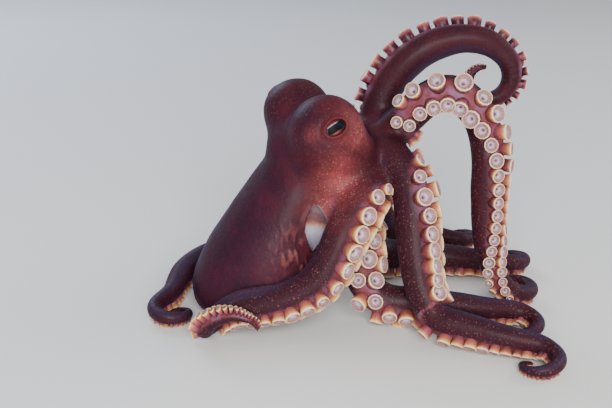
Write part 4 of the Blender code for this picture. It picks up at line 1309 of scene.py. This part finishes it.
def pupil_material():
    made, tree, shader = new_material("pupil_black", Roughness=0.45, Specular_IOR_Level=0.05)
    depth = spread(tree, clouds(tree, 700.0, 1.0), 0.4, 0.7)
    colour = mixed(tree, depth, (0.0015, 0.0020, 0.0040), (0.0030, 0.0075, 0.0150))
    tree.links.new(colour, shader.inputs["Base Color"])
    return made


def floor_material():
    made, tree, shader = new_material("studio_floor", Roughness=0.6)
    tone = clouds(tree, 6.0, 2.0)
    tree.links.new(mixed(tree, tone, (0.66, 0.66, 0.66), (0.70, 0.70, 0.69)), shader.inputs["Base Color"])
    return made


# Studio


def aim(obj, place, away):
    """Puts a camera or a light at a place, looking against a direction."""
    obj.location = place
    obj.rotation_mode = "QUATERNION"
    obj.rotation_quaternion = (-away).to_track_quat("-Z", "Y")


def make_camera():
    data = bpy.data.cameras.new("camera")
    data.lens = CAMERA_LENS
    data.sensor_width = CAMERA_SENSOR
    data.clip_start = 0.01
    camera = link(bpy.data.objects.new("camera", data))
    back = Vector((0, -math.cos(CAMERA_ELEVATION), math.sin(CAMERA_ELEVATION)))
    aim(camera, CAMERA_TARGET + back * CAMERA_DISTANCE, back)
    bpy.context.scene.camera = camera


def make_studio():
    form = bmesh.new()
    bmesh.ops.create_grid(form, x_segments=2, y_segments=2, size=2.0)
    bmesh.ops.translate(form, verts=form.verts, vec=(0, 0, -FLOOR_GAP))
    floor = as_object(form, "floor")
    floor.data.materials.append(floor_material())
    world = bpy.data.worlds.new("studio")
    world.use_nodes = True
    background = world.node_tree.nodes["Background"]
    background.inputs[0].default_value = (0.86, 0.90, 0.95, 1)
    background.inputs[1].default_value = 0.5
    bpy.context.scene.world = world
    for name, place, size, power, colour in LIGHTS:
        data = bpy.data.lights.new(name, "AREA")
        data.size = size
        data.energy = power
        data.color = colour
        aim(link(bpy.data.objects.new(name, data)), place, Vector(place) - CAMERA_TARGET)


def finish_piece(obj, material, nodes=()):
    obj.data.materials.clear()
    obj.data.materials.append(material)
    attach(obj, "root")
    if nodes:
        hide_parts(*nodes)


def main():
    lines = {arm: arm_line(spec) for arm, spec in ARMS.items()}
    make_camera()
    make_studio()
    grain = grain_group()
    skin = make_skin(lines, funnel_line())
    flesh = sorted(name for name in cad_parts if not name.startswith("eye_"))
    finish_piece(skin, skin_material(grain), flesh)
    suckers = sucker_material(grain)
    patterns = {sides: sucker_pattern(sides) for sides in SUCKER_PROFILES}
    for seed, (arm, line) in enumerate(lines.items()):
        finish_piece(make_suckers(arm, line, patterns, seed), suckers)
    finish_piece(make_warts(skin, lines), wart_material(grain))
    iris, black = eye_material(), pupil_material()
    for eye in BULBS:
        finish_piece(eyeball(eye), iris, [f"eye_{eye}"])
        finish_piece(pupil(eye), black)


main()
